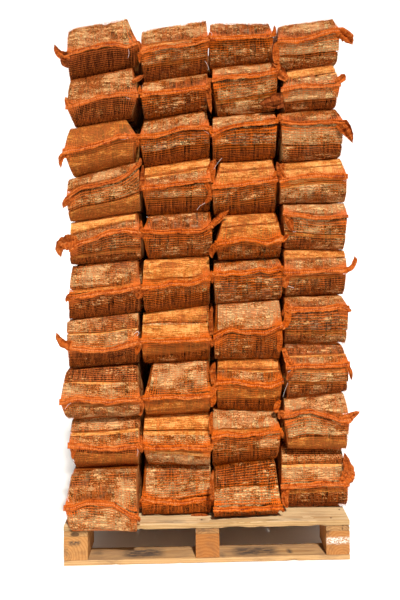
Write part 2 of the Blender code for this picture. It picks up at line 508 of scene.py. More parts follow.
def weaveCells(tree, weave, drift):
    # how far a point is from the middle of its mesh cell, across and along the net
    across, along, _ = parted(tree, weave)
    shake = product(tree, drift, 0.004)
    distances = []
    for place, pitch in ((across, netLook["wale"]), (along, netLook["course"])):
        cell = sums(tree, "DIVIDE", added(tree, place, shake), pitch)
        distances.append(offCentre(tree, sums(tree, "FRACT", cell), 0.5))
    return distances


def makeNet():
    material, tree, shader = newMaterial("sack_net", 0.55, 0.15)
    place = placeOn(tree)
    weave = attribute(tree, "weave", "Vector")
    rib, cross = weaveCells(tree, weave, noisy(tree, place, 25.0, 2.0))
    ribs = scaled(tree, weave, 1 / netLook["gathers"], 1 / netLook["gatherLength"], 1.0)
    bunch = noisy(tree, ribs, 1.0, 2.0, 0.6)
    loose = noisy(tree, place, 30.0, 3.0, 0.6)
    nearHem = span(tree, parted(tree, weave)[1], *netLook["nearHemReach"], netLook["nearHem"], 0.0)
    bunched = product(tree, parted(tree, weave)[2], netLook["bunched"])
    tight = added(tree, weighted(tree, (bunch, netLook["gatherDepth"]), (loose, 0.07)), bunched)
    edge = sums(tree, "SUBTRACT", netLook["open"] / 2 + 0.5, added(tree, tight, nearHem))
    threads = sums(tree, "GREATER_THAN", sums(tree, "MAXIMUM", rib, cross), edge)
    plug(tree, shader.inputs["Base Color"], netColour(tree, place))
    plug(tree, shader.inputs["Alpha"], threads)
    bumped(tree, shader, bunch, 0.6, 0.004)
    return material


def makeHem():
    # several layers of net sewn together: creases both ways, paler on the ridges where they rub and with painted
    # highlight there, painted shade in the folds
    material, tree, shader = newMaterial("sack_hem", 0.7, 0.07)
    place = placeOn(tree)
    weave = attribute(tree, "weave", "Vector")
    shade = attribute(tree, "netShade")
    along, over, _ = parted(tree, weave)
    drift = noisy(tree, place, 38.0, 2.0, output="Color")
    swayed = vectors(tree, "ADD", weave, scaled(tree, drift, netLook["hemSway"], netLook["hemSway"], 0.0))
    pleat = noisy(tree, scaled(tree, swayed, 1 / netLook["pleat"], 30.0, 1.0), 1.0, 2.0, 0.65)
    fold = noisy(tree, scaled(tree, swayed, 14.0, 1 / netLook["fold"], 1.0), 1.0, 2.0, 0.6)
    finer = scaled(tree, weave, netLook["hemKnit"], netLook["hemKnit"], 1.0)
    rib, cross = weaveCells(tree, finer, noisy(tree, place, 90.0, 2.0))
    knit = sums(tree, "MAXIMUM", rib, cross)
    relief = weighted(tree, (pleat, 1.0), (fold, 1.25))
    colour = netColour(tree, place)
    # painted highlight on the ridges of the creases, where they are also worn paler
    colour = mixed(tree, span(tree, relief, 0.54, 0.76, 0.0, 0.85), colour, netLook["wearAndHighlight"])
    # painted shade: darker in the folds of the creases and in the holes of the knit
    colour = mixed(tree, span(tree, relief, 0.50, 0.26, 0.0, 0.95), colour, netLook["shaded"])
    colour = mixed(tree, span(tree, knit, 0.34, 0.16, 0.0, 0.30), colour, netLook["shaded"])
    # painted shade: a dark line along the fold in the middle of the hem
    sway = product(tree, sums(tree, "SUBTRACT", noisy(tree, place, 22.0, 2.0), 0.5), netLook["creaseSway"])
    off = offCentre(tree, over, added(tree, sway, netLook["crease"]))
    colour = mixed(tree, span(tree, off, 0.0026, 0.0006, 0.0, 0.60), colour, netLook["shaded"])
    step = sums(tree, "FRACT", sums(tree, "DIVIDE", along, netLook["stitch"]))
    onStep = sums(tree, "LESS_THAN", offCentre(tree, step, 0.5), netLook["stitchHalf"])
    away = offCentre(tree, over, netLook["stitchLine"])
    stitch = product(tree, onStep, span(tree, away, 0.0016, 0.0007))
    colour = mixed(tree, product(tree, stitch, 0.35), colour, netLook["seam"])
    # painted shade from the netShade attribute: browns the loose ends and the hem's underside, less on the ridges
    dim = product(tree, shade, span(tree, relief, 0.85, 0.35, 0.55, 1.0))
    colour = mixed(tree, dim, colour, netLook["brown"])
    plug(tree, shader.inputs["Base Color"], colour)
    bumped(tree, shader, weighted(tree, (relief, 1.2), (knit, 0.3), (stitch, 0.3)), 1.0, 0.0032)
    return material


def makeThread():
    material, tree, shader = newMaterial("sewing_thread", 0.6, 0.2)
    twist = noisy(tree, placeOn(tree), 900.0, 1.0)
    plug(tree, shader.inputs["Base Color"], mixed(tree, twist, *netLook["thread"]))
    return material


timberLook = {
    # each timber's early wood, late wood, stain, tint of its upper face (painted light on the deck boards), ring width,
    # and how stained it is
    "deck": ((0.570, 0.375, 0.180), (0.405, 0.228, 0.085), (0.270, 0.150, 0.074), (1.22, 1.36, 1.62), 0.0075, 0.40),
    "stringer": ((0.520, 0.300, 0.125), (0.350, 0.180, 0.066), (0.180, 0.100, 0.050), (1.0, 1.0, 1.0), 0.0110, 0.65),
    "block": ((0.560, 0.280, 0.095), (0.450, 0.200, 0.060), (0.200, 0.090, 0.040), (1.0, 1.0, 1.0), 0.0120, 0.45),
    "bottom": ((0.700, 0.458, 0.224), (0.520, 0.306, 0.130), (0.250, 0.145, 0.078), (0.68, 0.64, 0.60), 0.0080, 0.65),
    "scuff": (0.860, 0.800, 0.720),
    "mark": (0.060, 0.042, 0.034),
    "knot": (0.095, 0.045, 0.020),
    "tint": (0.80, 0.62, 0.47),
    "stretch": (0.035, 0.10),    # how drawn out the fine and the broad grain are along a timber
    "ringWave": 0.034,
    "knotWave": 0.026,           # how far the rings swing out round a knot
}


def makeTimber(kind):
    # sawn pine: rings round a heart line that runs along the piece
    grainAxis = timberShape["grain"][kind]
    paleWood, lateWood, stain, topTint, ringWidth, stained = timberLook[kind]
    material, tree, shader = newMaterial(f"{kind}_timber", 0.75, 0.15)
    place = placeOn(tree, "boardSeed")
    heart = attribute(tree, "heart", "Vector")
    marked, scuffed, knotted = parted(tree, attribute(tree, "wear", "Vector"))
    fine, broad = [1.0, 1.0, 1.0], [1.0, 1.0, 1.0]
    fine[grainAxis], broad[grainAxis] = timberLook["stretch"]
    wobble = noisy(tree, scaled(tree, place, *(12.0 * f for f in broad)), 1.0, 2.0)
    reach = added(tree, vectors(tree, "LENGTH", heart), product(tree, wobble, timberLook["ringWave"]))
    reach = added(tree, reach, product(tree, knotted, timberLook["knotWave"]))
    rings = sums(tree, "FRACT", sums(tree, "DIVIDE", reach, ringWidth))
    late = span(tree, rings, 0.30, 0.95)
    fibre = noisy(tree, scaled(tree, place, *(260.0 * f for f in fine)), 1.0, 3.0, 0.6)
    colour = mixed(tree, late, paleWood, lateWood)
    colour = mixed(tree, span(tree, fibre, 0.42, 0.75, 0.0, 0.55), colour, lateWood)
    colour = mixed(tree, attribute(tree, "boardTone"), colour, timberLook["tint"], "MULTIPLY")
    dirt = noisy(tree, scaled(tree, place, *(22.0 * max(f, 0.25) for f in broad)), 1.0, 4.0, 0.7)
    facingUp = span(tree, parted(tree, tree.nodes.new("ShaderNodeNewGeometry").outputs["Normal"])[2], 0.6, 0.9)
    # the upper faces are tinted: painted light, lighter and bluer, on the deck's tops; darker on the bottom boards'
    # tops
    colour = mixed(tree, facingUp, colour, topTint, "MULTIPLY")
    onTop = added(tree, dirt, product(tree, facingUp, 0.07))
    colour = mixed(tree, span(tree, onTop, 0.46, 0.72, 0.0, stained), colour, stain)
    saw = noisy(tree, scaled(tree, place, *(130.0 / max(f, 0.3) for f in fine)), 1.0, 1.0, 0.5)
    streaks = noisy(tree, scaled(tree, place, *(130.0 * max(f, 0.14) for f in broad)), 1.0, 3.0, 0.75)
    smear = product(tree, span(tree, streaks, 0.36, 0.54, 0.25, 1.0), marked)
    colour = mixed(tree, smear, colour, timberLook["mark"])
    colour = mixed(tree, span(tree, knotted, 0.45, 0.90, 0.0, 0.85), colour, timberLook["knot"])
    torn = span(tree, noisy(tree, place, 160.0, 3.0, 0.7), 0.62, 0.40)
    colour = mixed(tree, product(tree, torn, scuffed), colour, timberLook["scuff"])
    plug(tree, shader.inputs["Base Color"], colour)
    bumped(tree, shader, weighted(tree, (fibre, 1.0), (late, 0.4), (saw, 0.5), (scuffed, 0.6)), 0.6, 0.0018)
    return material


nailLook = {"steel": (0.16, 0.12, 0.10), "rust": (0.34, 0.20, 0.12), "metallic": 0.8}


def makeSteel():
    material, tree, shader = newMaterial("nail_head", 0.5, 0.4)
    shader.inputs["Metallic"].default_value = nailLook["metallic"]
    rust = noisy(tree, placeOn(tree), 700.0, 2.0)
    plug(tree, shader.inputs["Base Color"], mixed(tree, rust, nailLook["steel"], nailLook["rust"]))
    return material


barkMaterial = makeBark()
splitMaterial = makeSplitWood()
endMaterial = makeEndGrain()
netMaterial = makeNet()
hemMaterial = makeHem()
threadMaterial = makeThread()
nailMaterial = makeSteel()
print("materials made")


# Each sack's place, read from its solid. A rear sack is worked out as the front one that
# it matches after half a turn of the load.

sackShape = {
    "depths": (0.0, 0.014, 0.046),    # behind the sewn end: seam, shoulder, full height
    "above": (0.0, 0.55, 1.0),        # how far the sack has opened there, upwards
    "below": (0.0, 0.70, 1.0),        # and downwards
    "mouthTaper": 0.062,
    "mouthOpening": 0.70,
    "mouthInset": 0.026,
    "seamHalf": 0.09,                 # the seam's own height, as a share of the sack's
    "cornerChamfer": 0.030,
    "hemHang": 0.0132,                # how far the hem's lower edge hangs below its root
    "hemSteps": 49,
    "hemRipple": (0.028, 0.0016),     # length and height of the small ripples in it
    "hemSettle": 0.045,               # depth at which the hem's waves have died out
    "hemReach": 0.068,                # the most the hem wanders from a straight line
    "deckEdge": -0.503,               # a sack that stands out in front of this hangs down over it
    "hangs": 0.028,
    "deckFold": 0.006,
    "levelling": (0.05, 0.12),        # depth from which the seam gives way to the sack's middle, and over what length
    "tuckReach": 0.22,                # depth at which a receding lower face is back in line
    "skew": 0.09,                     # how askew a bundle may lie above and below the hem
    "touch": 0.0006,                  # corners of the solid this near each other are one place
}

# How far the sack's corners are pulled in, in mm: upper left, upper right, lower left, lower right.
# Rows count from the top of the load.
corners = {
    (1, 1): (-4, 54, -6, 14), (1, 2): (0, 8, 6, 4), (1, 3): (4, 14, 0, 8), (1, 4): (0, 18, 2, 6),
    (2, 1): (6, 20, 22, 32), (2, 2): (4, 6, 10, 6), (2, 3): (0, 14, 22, 4), (2, 4): (32, 20, 16, 12),
    (3, 1): (18, 54, 32, 10), (3, 2): (18, 10, 16, 0), (3, 3): (4, 12, 2, 8), (3, 4): (0, 26, 6, 6),
    (4, 1): (0, 12, 4, 0), (4, 2): (2, 0, 6, 6), (4, 3): (28, 14, 4, 6), (4, 4): (4, 18, 2, -2),
    (5, 1): (-6, 8, -10, 0), (5, 2): (14, 2, 12, 0), (5, 3): (36, 18, 12, 4), (5, 4): (4, 0, 6, 6),
    (6, 1): (8, 6, -10, 0), (6, 2): (2, 4, 6, 4), (6, 3): (2, 14, 6, 0), (6, 4): (4, -2, 2, 2),
    (7, 1): (-12, 2, -6, 6), (7, 2): (4, 2, 4, 4), (7, 3): (4, 6, 2, 4), (7, 4): (0, 18, 0, 2),
    (8, 1): (16, 16, 22, 4), (8, 2): (28, 4, 6, 10), (8, 3): (6, 8, 4, 14), (8, 4): (0, 18, 0, -2),
    (9, 1): (6, 2, 22, 12), (9, 2): (6, 0, 18, 2), (9, 3): (2, 18, 0, 12), (9, 4): (6, 14, 12, 4),
    (10, 1): (16, 6, 32, 4), (10, 2): (2, 0, 0, 2), (10, 3): (4, 22, 0, 26), (10, 4): (6, 20, 0, -2),
}
# How far the face below the hem recedes at its foot, in mm; one with a minus comes forward
tucks = {(1, 1): 52, (1, 4): -6, (2, 1): 12, (2, 4): -10, (3, 4): -8, (4, 4): -8, (5, 1): 10, (5, 3): 8, (6, 1): 5,
         (6, 4): 12, (7, 1): 16, (7, 2): 12, (8, 3): 6, (9, 3): 6, (9, 4): -6, (10, 1): -24, (10, 2): -42, (10, 4): 4}
# How far the upper left and upper right corners of the top sacks rise, in mm
raised = {(1, 1): (4, 26), (1, 2): (6, 13), (1, 3): (9, 10), (1, 4): (10, 18)}

# The lower edge of each hem, in photo pixels. Rows count from the top of the load.
hemEdges = {
    (1, 1): ((69, 57), (80, 54), (90, 50.5), (110, 47.5), (118, 46.5), (127, 50), (139, 45)),
    (1, 2): ((141, 55), (155, 51), (180, 48.5), (195, 46.5), (206, 43)),
    (1, 3): ((212, 41), (226, 41.5), (240, 41), (255, 39.5), (272, 39)),
    (1, 4): ((278, 43.5), (295, 44.5), (310, 41.5), (327, 34.5), (345, 33)),
    (2, 1): ((70, 110), (80, 106.5), (100, 100), (125, 97), (134, 98)),
    (2, 2): ((140, 98), (160, 96), (185, 93), (208, 90)),
    (2, 3): ((210, 85), (220, 81), (240, 79.5), (260, 77.5), (275, 74)),
    (2, 4): ((278, 93), (300, 89), (330, 89), (338, 88)),
    (3, 1): ((64, 155), (80, 152), (100, 147.5), (120, 140), (135, 140)),
    (3, 2): ((130, 139.5), (150, 139.5), (168, 136.5), (180, 131), (206, 131)),
    (3, 3): ((214, 137), (225, 131), (240, 128), (262, 126), (278, 124)),
    (3, 4): ((281, 124), (300, 126.5), (320, 125.5), (341, 124.5)),
    (4, 1): ((70, 200), (75, 194), (82, 190), (100, 188), (118, 183), (130, 176), (141, 165)),
    (4, 2): ((142, 190.5), (160, 189), (180, 186), (207, 183)),
    (4, 3): ((212, 190.5), (235, 188), (255, 185), (276, 182.5)),
    (4, 4): ((280, 184), (310, 178), (340, 179), (350, 180)),
    (5, 1): ((70, 253), (77, 247), (96, 242.5), (105, 236.5), (127, 233), (140, 236)),
    (5, 2): ((142, 234), (160, 235), (180, 234), (200, 235), (210, 229)),
    (5, 3): ((225, 246), (240, 241.5), (255, 243), (268, 246.5), (283, 240)),
    (5, 4): ((291, 217), (305, 219), (320, 221.5), (345, 218.5)),
    (6, 1): ((75, 300), (90, 297.5), (110, 295), (130, 291.5), (140, 289)),
    (6, 2): ((148, 289.5), (160, 290), (169, 286.5), (190, 286.5), (207, 281)),
    (6, 3): ((213, 277), (240, 276), (255, 274), (258, 271.5), (267, 274), (283, 271)),
    (6, 4): ((292, 275), (307, 274), (320, 274), (347, 272)),
    (7, 1): ((65, 350), (75, 351), (90, 353), (100, 353.5), (120, 350), (135, 345)),
    (7, 2): ((141, 344), (160, 343.5), (185, 343), (208, 341)),
    (7, 3): ((217, 341), (226, 333.5), (232, 333), (245, 335.5), (268, 335), (282, 328)),
    (7, 4): ((290, 313), (318, 312), (340, 309.5), (351, 312)),
    (8, 1): ((66, 405), (75, 400.5), (90, 403.5), (110, 404.5), (138, 402)),
    (8, 2): ((143, 401), (160, 399), (190, 400), (208, 398)),
    (8, 3): ((217, 386), (235, 384), (250, 387.5), (270, 389), (286, 382)),
    (8, 4): ((295, 369), (320, 368.5), (340, 367.5), (349, 366)),
    (9, 1): ((75, 448.5), (100, 451.5), (120, 450.5), (135, 448)),
    (9, 2): ((142, 449), (160, 451), (180, 449), (208, 451)),
    (9, 3): ((215, 439), (223, 436), (240, 438), (260, 436), (283, 433)),
    (9, 4): ((285, 420), (300, 415), (312, 414), (328, 419), (340, 423)),
    (10, 1): ((72, 511), (90, 504), (98, 502), (112, 506), (123, 512.5), (130, 518.7)),
    (10, 2): ((142, 500), (150, 503.5), (180, 505.5), (209, 501)),
    (10, 3): ((213, 510), (220, 511), (245, 511.5), (270, 512)),
    (10, 4): ((287, 489), (305, 487.5), (318, 486), (345, 485.5), (352, 484)),
}


def readSack(layer, column, facing):
    # column is the sack's own place; a rear sack borrows the front solid that faces it half a turn on
    ownColumn = column if facing < 0 else load["columns"] + 1 - column
    node = f"sacks_layer_{layer:02d}_column_{column}"
    solid = frame["nodes"][f"sacks_layer_{layer:02d}_column_{ownColumn}"]
    points = np.array([v.co for v in solid.data.vertices])
    points = points[points[:, 1] < -0.001]
    left, right = points[:, 0].min(), points[:, 0].max()
    chamfer, near = sackShape["cornerChamfer"], sackShape["touch"]

    def sliceAt(x):
        return points[abs(points[:, 0] - x) < near]

    def seamEnd(x):
        side = sliceAt(x)
        reach = side[:, 1].min()
        tip = side[side[:, 1] < reach + near]
        return reach, tip[:, 2].mean()

    ends = [seamEnd(left), seamEnd(right)]
    edges = {}
    for key, pick in (("top", np.max), ("bottom", np.min)):
        a = pick(sliceAt(left + chamfer)[:, 2])
        b = pick(sliceAt(right - chamfer)[:, 2])
        rise = (b - a) / (right - left - 2 * chamfer)
        edges[key] = (a - rise * chamfer, b + rise * chamfer)
    mouth = sliceAt(left + sackShape["mouthInset"])
    key = (layer, column, 1 + (facing > 0))
    rng = random(*key, 5)
    sack = {
        "node": node, "key": key, "layer": layer, "column": column, "facing": facing,
        "spot": (load["layers"] + 1 - layer, ownColumn),
        "left": left, "right": right,
        "seamY": (ends[0][0], ends[1][0]), "seamZ": (ends[0][1], ends[1][1]),
        "top": edges["top"], "bottom": edges["bottom"],
        "mouthY": -abs(mouth[:, 1]).min(),
        "hemHeight": rng.uniform(0.84, 1.06),
        "skew": rng.uniform(-sackShape["skew"], sackShape["skew"], 2),
    }
    sack["wave"] = hemWave(sack)
    return sack


def sackName(kind, sack):
    word = "front" if sack["facing"] < 0 else "rear"
    return f"{kind}_{word}_layer_{sack['layer']:02d}_column_{sack['column']}"


def turned(sack, points):
    # a rear sack's points go half a turn round the load
    return np.asarray(points) * ((1, 1, 1) if sack["facing"] < 0 else (-1, -1, 1))


def lineAt(sack, key, x):
    share = (x - sack["left"]) / (sack["right"] - sack["left"])
    a, b = sack[key]
    return a + share * (b - a)


def hemWave(sack):
    # how far the hem wanders from the straight line between its ends, at even steps across the sack
    frontY = sum(sack["seamY"]) / 2
    read = [photoPoint(x, y, frontY) for x, y in hemEdges[sack["spot"]]]
    hang = sackShape["hemHang"] * sack["hemHeight"]
    offsets = [p.z + hang - lineAt(sack, "seamZ", p.x) for p in read]
    steps = np.linspace(sack["left"], sack["right"], sackShape["hemSteps"])
    wave = evened(np.interp(steps, [p.x for p in read], offsets), 2)
    length, height = sackShape["hemRipple"]
    ripple = valueNoise(np.stack([steps / length, 0 * steps + sack["layer"], 0 * steps + sack["column"]], axis=-1), 41)
    return np.clip(wave + ripple * height, -sackShape["hemReach"], sackShape["hemReach"])


def waveAt(sack, x):
    return np.interp(x, np.linspace(sack["left"], sack["right"], len(sack["wave"])), sack["wave"])


def sackLength(sack):
    return abs(sum(sack["seamY"]) / 2 - sack["mouthY"])


def slanted(sack, x, level):
    # the sack's ends lean in above and below the hem
    share = (x - sack["left"]) / (sack["right"] - sack["left"]) * 2 - 1
    upLeft, upRight, downLeft, downRight = (0.001 * value for value in corners[sack["spot"]])
    up, down = np.clip(level, 0, 1), np.clip(-level, 0, 1)
    near = smooth((abs(share) - 0.45) / 0.55)
    return x + near * np.where(share < 0, upLeft * up + downLeft * down, -upRight * up - downRight * down)


def sackPoint(sack, x, depth, level):
    # level runs from -1 at the sack's underside to 1 at its top, 0 is its seam
    x = slanted(sack, x, level)
    side = np.clip((x - sack["left"]) / (sack["right"] - sack["left"]), 0, 1) * 2 - 1
    lean = np.where(level > 0, *sack["skew"]) * side
    level = level + lean * np.sin(np.pi * np.clip(abs(level), 0, 1))
    seam = lineAt(sack, "seamZ", x) + waveAt(sack, x) * (1 - smooth(depth / sackShape["hemSettle"]))
    top = lineAt(sack, "top", x)
    bottom = lineAt(sack, "bottom", x)
    start, way = sackShape["levelling"]
    middle = seam + ((top + bottom) / 2 - seam) * smooth((depth - start) / way)
    share = np.clip((x - sack["left"]) / (sack["right"] - sack["left"]), 0, 1)
    rise = np.interp(share, (0, 1), raised.get(sack["spot"], (0, 0))) * 0.001
    high = top + rise * smooth(share * 4 + 0.4)
    z = middle + np.where(level > 0, level * (high - middle), level * (middle - bottom))
    # the seam may lie askew, the mouth lies square, so the depth is shared out between them
    y = lineAt(sack, "seamY", x)
    askew = y - sum(sack["seamY"]) / 2
    y = y + depth - askew * np.clip(depth / sackLength(sack), 0, 1)
    y = y + 0.001 * tucks.get(sack["spot"], 0) * np.clip(-level, 0, 1) * (1 - smooth(depth / sackShape["tuckReach"]))
    over = smooth((sackShape["deckEdge"] - y) / sackShape["deckFold"]) * (sack["layer"] == 1)
    z = z - sackShape["hangs"] * over * smooth(-level * 2)
    return np.stack([x + 0 * z, y + 0 * z, z], axis=-1)


def opening(sack, depth):
    # share of the full height below and above the seam that the sack has at this depth
    length = sackLength(sack)
    stations = (*sackShape["depths"], length - sackShape["mouthTaper"], length)
    lip = sackShape["seamHalf"]
    shares = []
    for key in ("below", "above"):
        share = np.interp(depth, stations, (*sackShape[key], 1.0, sackShape["mouthOpening"]))
        shares.append(lip + (1 - lip) * share)
    return shares


# Logs

logShape = {
    "netGap": 0.0012,      # between the outline of the sack and its logs
    "logGap": 0.0018,      # half the air between two logs
    "endGap": (0.0012, 0.0035),
    "shortEnd": (0.006, 0.018),    # at the inner end of a log that is shorter than its sack
    "shortShare": 0.25,
    "setBack": 28.0,       # mm that a small log lies behind the face of the sack
    # the bundle at the sewn end, below and above the hem: mm deep, and level in percent
    "faceBelow": ((0, -9), (14, -72), (46, -100)),
    "faceAbove": ((46, 100), (14, 58), (0, 9)),
    "faceDeep": 55,        # mm; a side nearer than this shows at the sewn end
    "touching": 1.5,       # mm; a side this near the outline lies on it
    "stray": 5,            # how far a log at the sewn end lies from its spot, at most
    "inner": (0.42, 0.65, 0.87),    # how far in the pairs of logs behind it lie, as shares of the sack
    "innerLevel": 50,
    "innerStray": (0.04, 16),
    "core": (0.54, 12),    # the log in the middle: how far in, and its stray up and down
    "mouthAir": 20,        # mm
    "easing": (6, 13),     # mm, radius of a log's edges
    "fresh": 0.75,         # share of hidden sides that are split, not bark
    "paleStray": 0.07,
    "fine": (28, 24),      # points round a log that shows, and steps along it
    "plain": (12, 4),
    "barkRelief": 0.0048,
    "splitRelief": 0.0024,
    "lumps": (0.042, 0.022, 0.022),
    "pits": (0.019, 0.013, 0.013),
    "splinters": (0.110, 0.012, 0.012),
    "bulges": (0.12, 0.06, 0.06),
    "bulge": 0.0022, "bulgeSink": 0.0010,
    "hiddenRelief": 0.6,   # share of the relief on logs that don't show
    "proud": 0.0006,       # the most that a lump stands out of its log's outline
    "cutSlant": 0.0012,
    "pithStray": 40,       # mm, how far the trunk's heart lies from the middle of its log
    "endBevel": (0.05, 0.0012),    # how far a sawn end's edge is eased, as a share inwards and outwards
}

# bark or split wood, then paleness, fissures or torn fibres, and greyness
finishes = {
    "speckled": ("bark", 0.58, 0.45, 0.35),
    # painted shade: deep is an almost black bark for faces in the load's shade, and dark also darkens set-back logs at
    # a sack's foot
    "dark": ("bark", -0.08, 0.80, 0.00),
    "deep": ("bark", -0.50, 0.80, 0.00),
    "furrowed": ("bark", 0.34, 1.00, 0.25),
    "brown": ("bark", 0.24, 0.75, 0.20),
    "golden": ("bark", 0.42, 0.40, 0.10),
    "grey": ("bark", 0.50, 0.85, 1.00),
    "cream": ("bark", 0.84, 0.55, 0.30),
    "patchy": ("bark", 0.64, 0.40, 0.30),
    "bleached": ("bark", 1.08, 0.50, 0.15),
    "smooth": ("split", 0.08, 0.20, 0.00),
    "orange": ("split", 0.40, 0.30, 0.00),
    "honey": ("split", 0.60, 0.55, 0.00),
    "rust": ("split", -0.02, 0.40, 0.00),
    "split": ("split", 0.54, 0.75, 0.00),
    "pale": ("split", 0.78, 0.55, 0.00),
}

# for the logs inside the bundle and on top of it
innerFinishes = ("speckled", "furrowed", "brown", "golden", "grey", "cream", "patchy", "smooth", "orange", "honey",
                 "split", "pale")

# The logs that show at each sewn end: above the hem | below it, each from the hem outwards.
# A name with a minus lies set back. Rows count from the top of the load.
facingLogs = {
    (1, 1): "speckled | deep", (1, 2): "patchy | patchy dark-",
    (1, 3): "grey | brown", (1, 4): "patchy | bleached golden-",
    (2, 1): "golden | dark", (2, 2): "golden | furrowed",
    (2, 3): "cream | patchy golden-", (2, 4): "cream pale | bleached dark-",
    (3, 1): "smooth | smooth", (3, 2): "cream | grey deep-",
    (3, 3): "bleached | grey deep-", (3, 4): "golden | bleached brown",
    (4, 1): "patchy | golden smooth", (4, 2): "patchy honey | patchy deep-",
    (4, 3): "honey honey | brown deep-", (4, 4): "pale pale | cream",
    (5, 1): "cream pale | brown dark", (5, 2): "grey | brown",
    (5, 3): "orange orange | brown", (5, 4): "bleached | patchy brown",
    (6, 1): "speckled | furrowed deep-", (6, 2): "honey | golden deep-",
    (6, 3): "speckled | grey", (6, 4): "cream honey | brown",
    (7, 1): "cream speckled | dark dark-", (7, 2): "honey orange | rust dark-",
    (7, 3): "bleached | brown", (7, 4): "patchy | grey brown-",
    (8, 1): "patchy furrowed | cream", (8, 2): "patchy | smooth",
    (8, 3): "speckled orange | smooth deep-", (8, 4): "speckled grey | speckled brown-",
    (9, 1): "patchy speckled | smooth", (9, 2): "patchy honey | cream",
    (9, 3): "bleached | golden dark-", (9, 4): "bleached | patchy smooth-",
    (10, 1): "speckled | bleached", (10, 2): "patchy | deep",
    (10, 3): "cream furrowed | brown", (10, 4): "bleached golden | furrowed",
}

logSpots = {
    # middle of a log's section behind the sewn end: mm deep, and level in percent
    1: ((48, 46),),
    2: ((32, 20), (54, 70)),
}


def cutPolygon(polygon, point, normal):
    # keeps the part of a convex polygon on the far side of a line from its normal
    kept = []
    count = len(polygon)
    for index in range(count):
        a, b = polygon[index], polygon[(index + 1) % count]
        da, db = np.dot(a - point, normal), np.dot(b - point, normal)
        if da <= 0:
            kept.append(a)
        if da * db < 0:
            kept.append(a + (b - a) * da / (da - db))
    return kept


def insetPolygon(polygon, gap):
    kept = list(polygon)
    count = len(polygon)
    for index in range(count):
        a, b = polygon[index], polygon[(index + 1) % count]
        along = b - a
        length = np.linalg.norm(along)
        if length < 1e-6:
            continue
        normal = np.array([along[1], -along[0]]) / length
        kept = cutPolygon(kept, a - normal * gap, normal)
        if len(kept) < 3:
            return []
    return kept


def roundPolygon(polygon, radius, count):
    # a closed line with eased corners, count points evenly along it, and each point's side number
    points, sides = [], []
    size = len(polygon)
    for index in range(size):
        before, here, after = polygon[index - 1], polygon[index], polygon[(index + 1) % size]
        reachIn = min(radius, np.linalg.norm(here - before) * 0.45)
        reachOut = min(radius, np.linalg.norm(after - here) * 0.45)
        start = here + (before - here) / max(np.linalg.norm(before - here), 1e-9) * reachIn
        end = here + (after - here) / max(np.linalg.norm(after - here), 1e-9) * reachOut
        for t in (0.0, 0.33, 0.67, 1.0):
            points.append(start * (1 - t) ** 2 + here * 2 * t * (1 - t) + end * t * t)
            sides.append((index - 1) % size if t < 0.5 else index)
    closed = np.vstack([points, points[:1]])
    reach = travelled(closed)
    wanted = np.arange(count) / count * reach[-1]
    even = np.stack([np.interp(wanted, reach, closed[:, k]) for k in (0, 1)], axis=-1)
    owner = [sides[min(np.searchsorted(reach, w, "right") - 1, len(sides) - 1)] for w in wanted]
    return even, owner


def bundleOutline(sack):
    length = sackLength(sack) * 1000
    full = length - sackShape["mouthTaper"] * 1000
    mouth = sackShape["mouthOpening"] * 100
    back = ((full, -100), (length, -mouth), (length, mouth), (full, 100))
    return [np.array(p, float) for p in (*logShape["faceBelow"], *back, *logShape["faceAbove"])]


def planLogs(sack, rng):
    # each log: the middle of its section, its finish, how far it is set back, whether it shows
    plan = []
    stray = logShape["stray"]
    upper, lower = facingLogs[sack["spot"]].split("|")
    for names, sign in ((upper.split(), 1), (lower.split(), -1)):
        for name, (deep, level) in zip(names, logSpots[len(names)]):
            spot = np.array((deep + rng.uniform(-stray, stray), sign * (level + rng.uniform(-stray, stray))))
            back = logShape["setBack"] if name.endswith("-") else 0.0
            plan.append((spot, name.strip("-"), back, True))
    reach = sackLength(sack) * 1000 - logShape["mouthAir"]
    top = sack["layer"] == load["layers"]
    aside, upDown = logShape["innerStray"]
    for share in logShape["inner"]:
        for sign in (1, -1):
            deep = reach * (share + rng.uniform(-aside, aside))
            spot = np.array((deep, sign * logShape["innerLevel"] + rng.uniform(-upDown, upDown)))
            plan.append((spot, innerFinishes[rng.integers(len(innerFinishes))], 0.0, top and sign > 0))
    share, upDown = logShape["core"]
    spot = np.array((reach * (share + rng.uniform(-aside, aside)), rng.uniform(-upDown, upDown)))
    plan.append((spot, "brown", 0.0, False))
    return plan


def logSections(sack, plan):
    outline = insetPolygon(bundleOutline(sack), logShape["netGap"] * 1000)
    sections = []
    for index, (spot, finish, back, shows) in enumerate(plan):
        section = outline
        for other, (rival, *_) in enumerate(plan):
            if other != index:
                away = (rival - spot) / np.linalg.norm(rival - spot)
                section = cutPolygon(section, (spot + rival) / 2 - away * logShape["logGap"] * 1000, away)
        if back:
            section = cutPolygon(section, np.array((back, 0.0)), np.array((-1.0, 0.0)))
        if len(section) >= 3:
            sections.append((section, finish, shows))
    return sections


def sideIsOuter(a, b, outline):
    # True where a side of a log lies on the outside of the bundle
    middle = (a + b) / 2
    nearest = 1e9
    for index in range(len(outline)):
        p, q = outline[index], outline[(index + 1) % len(outline)]
        share = np.clip(np.dot(middle - p, q - p) / np.dot(q - p, q - p), 0, 1)
        nearest = min(nearest, np.linalg.norm(p + (q - p) * share - middle))
    return nearest < logShape["netGap"] * 1000 + logShape["touching"]


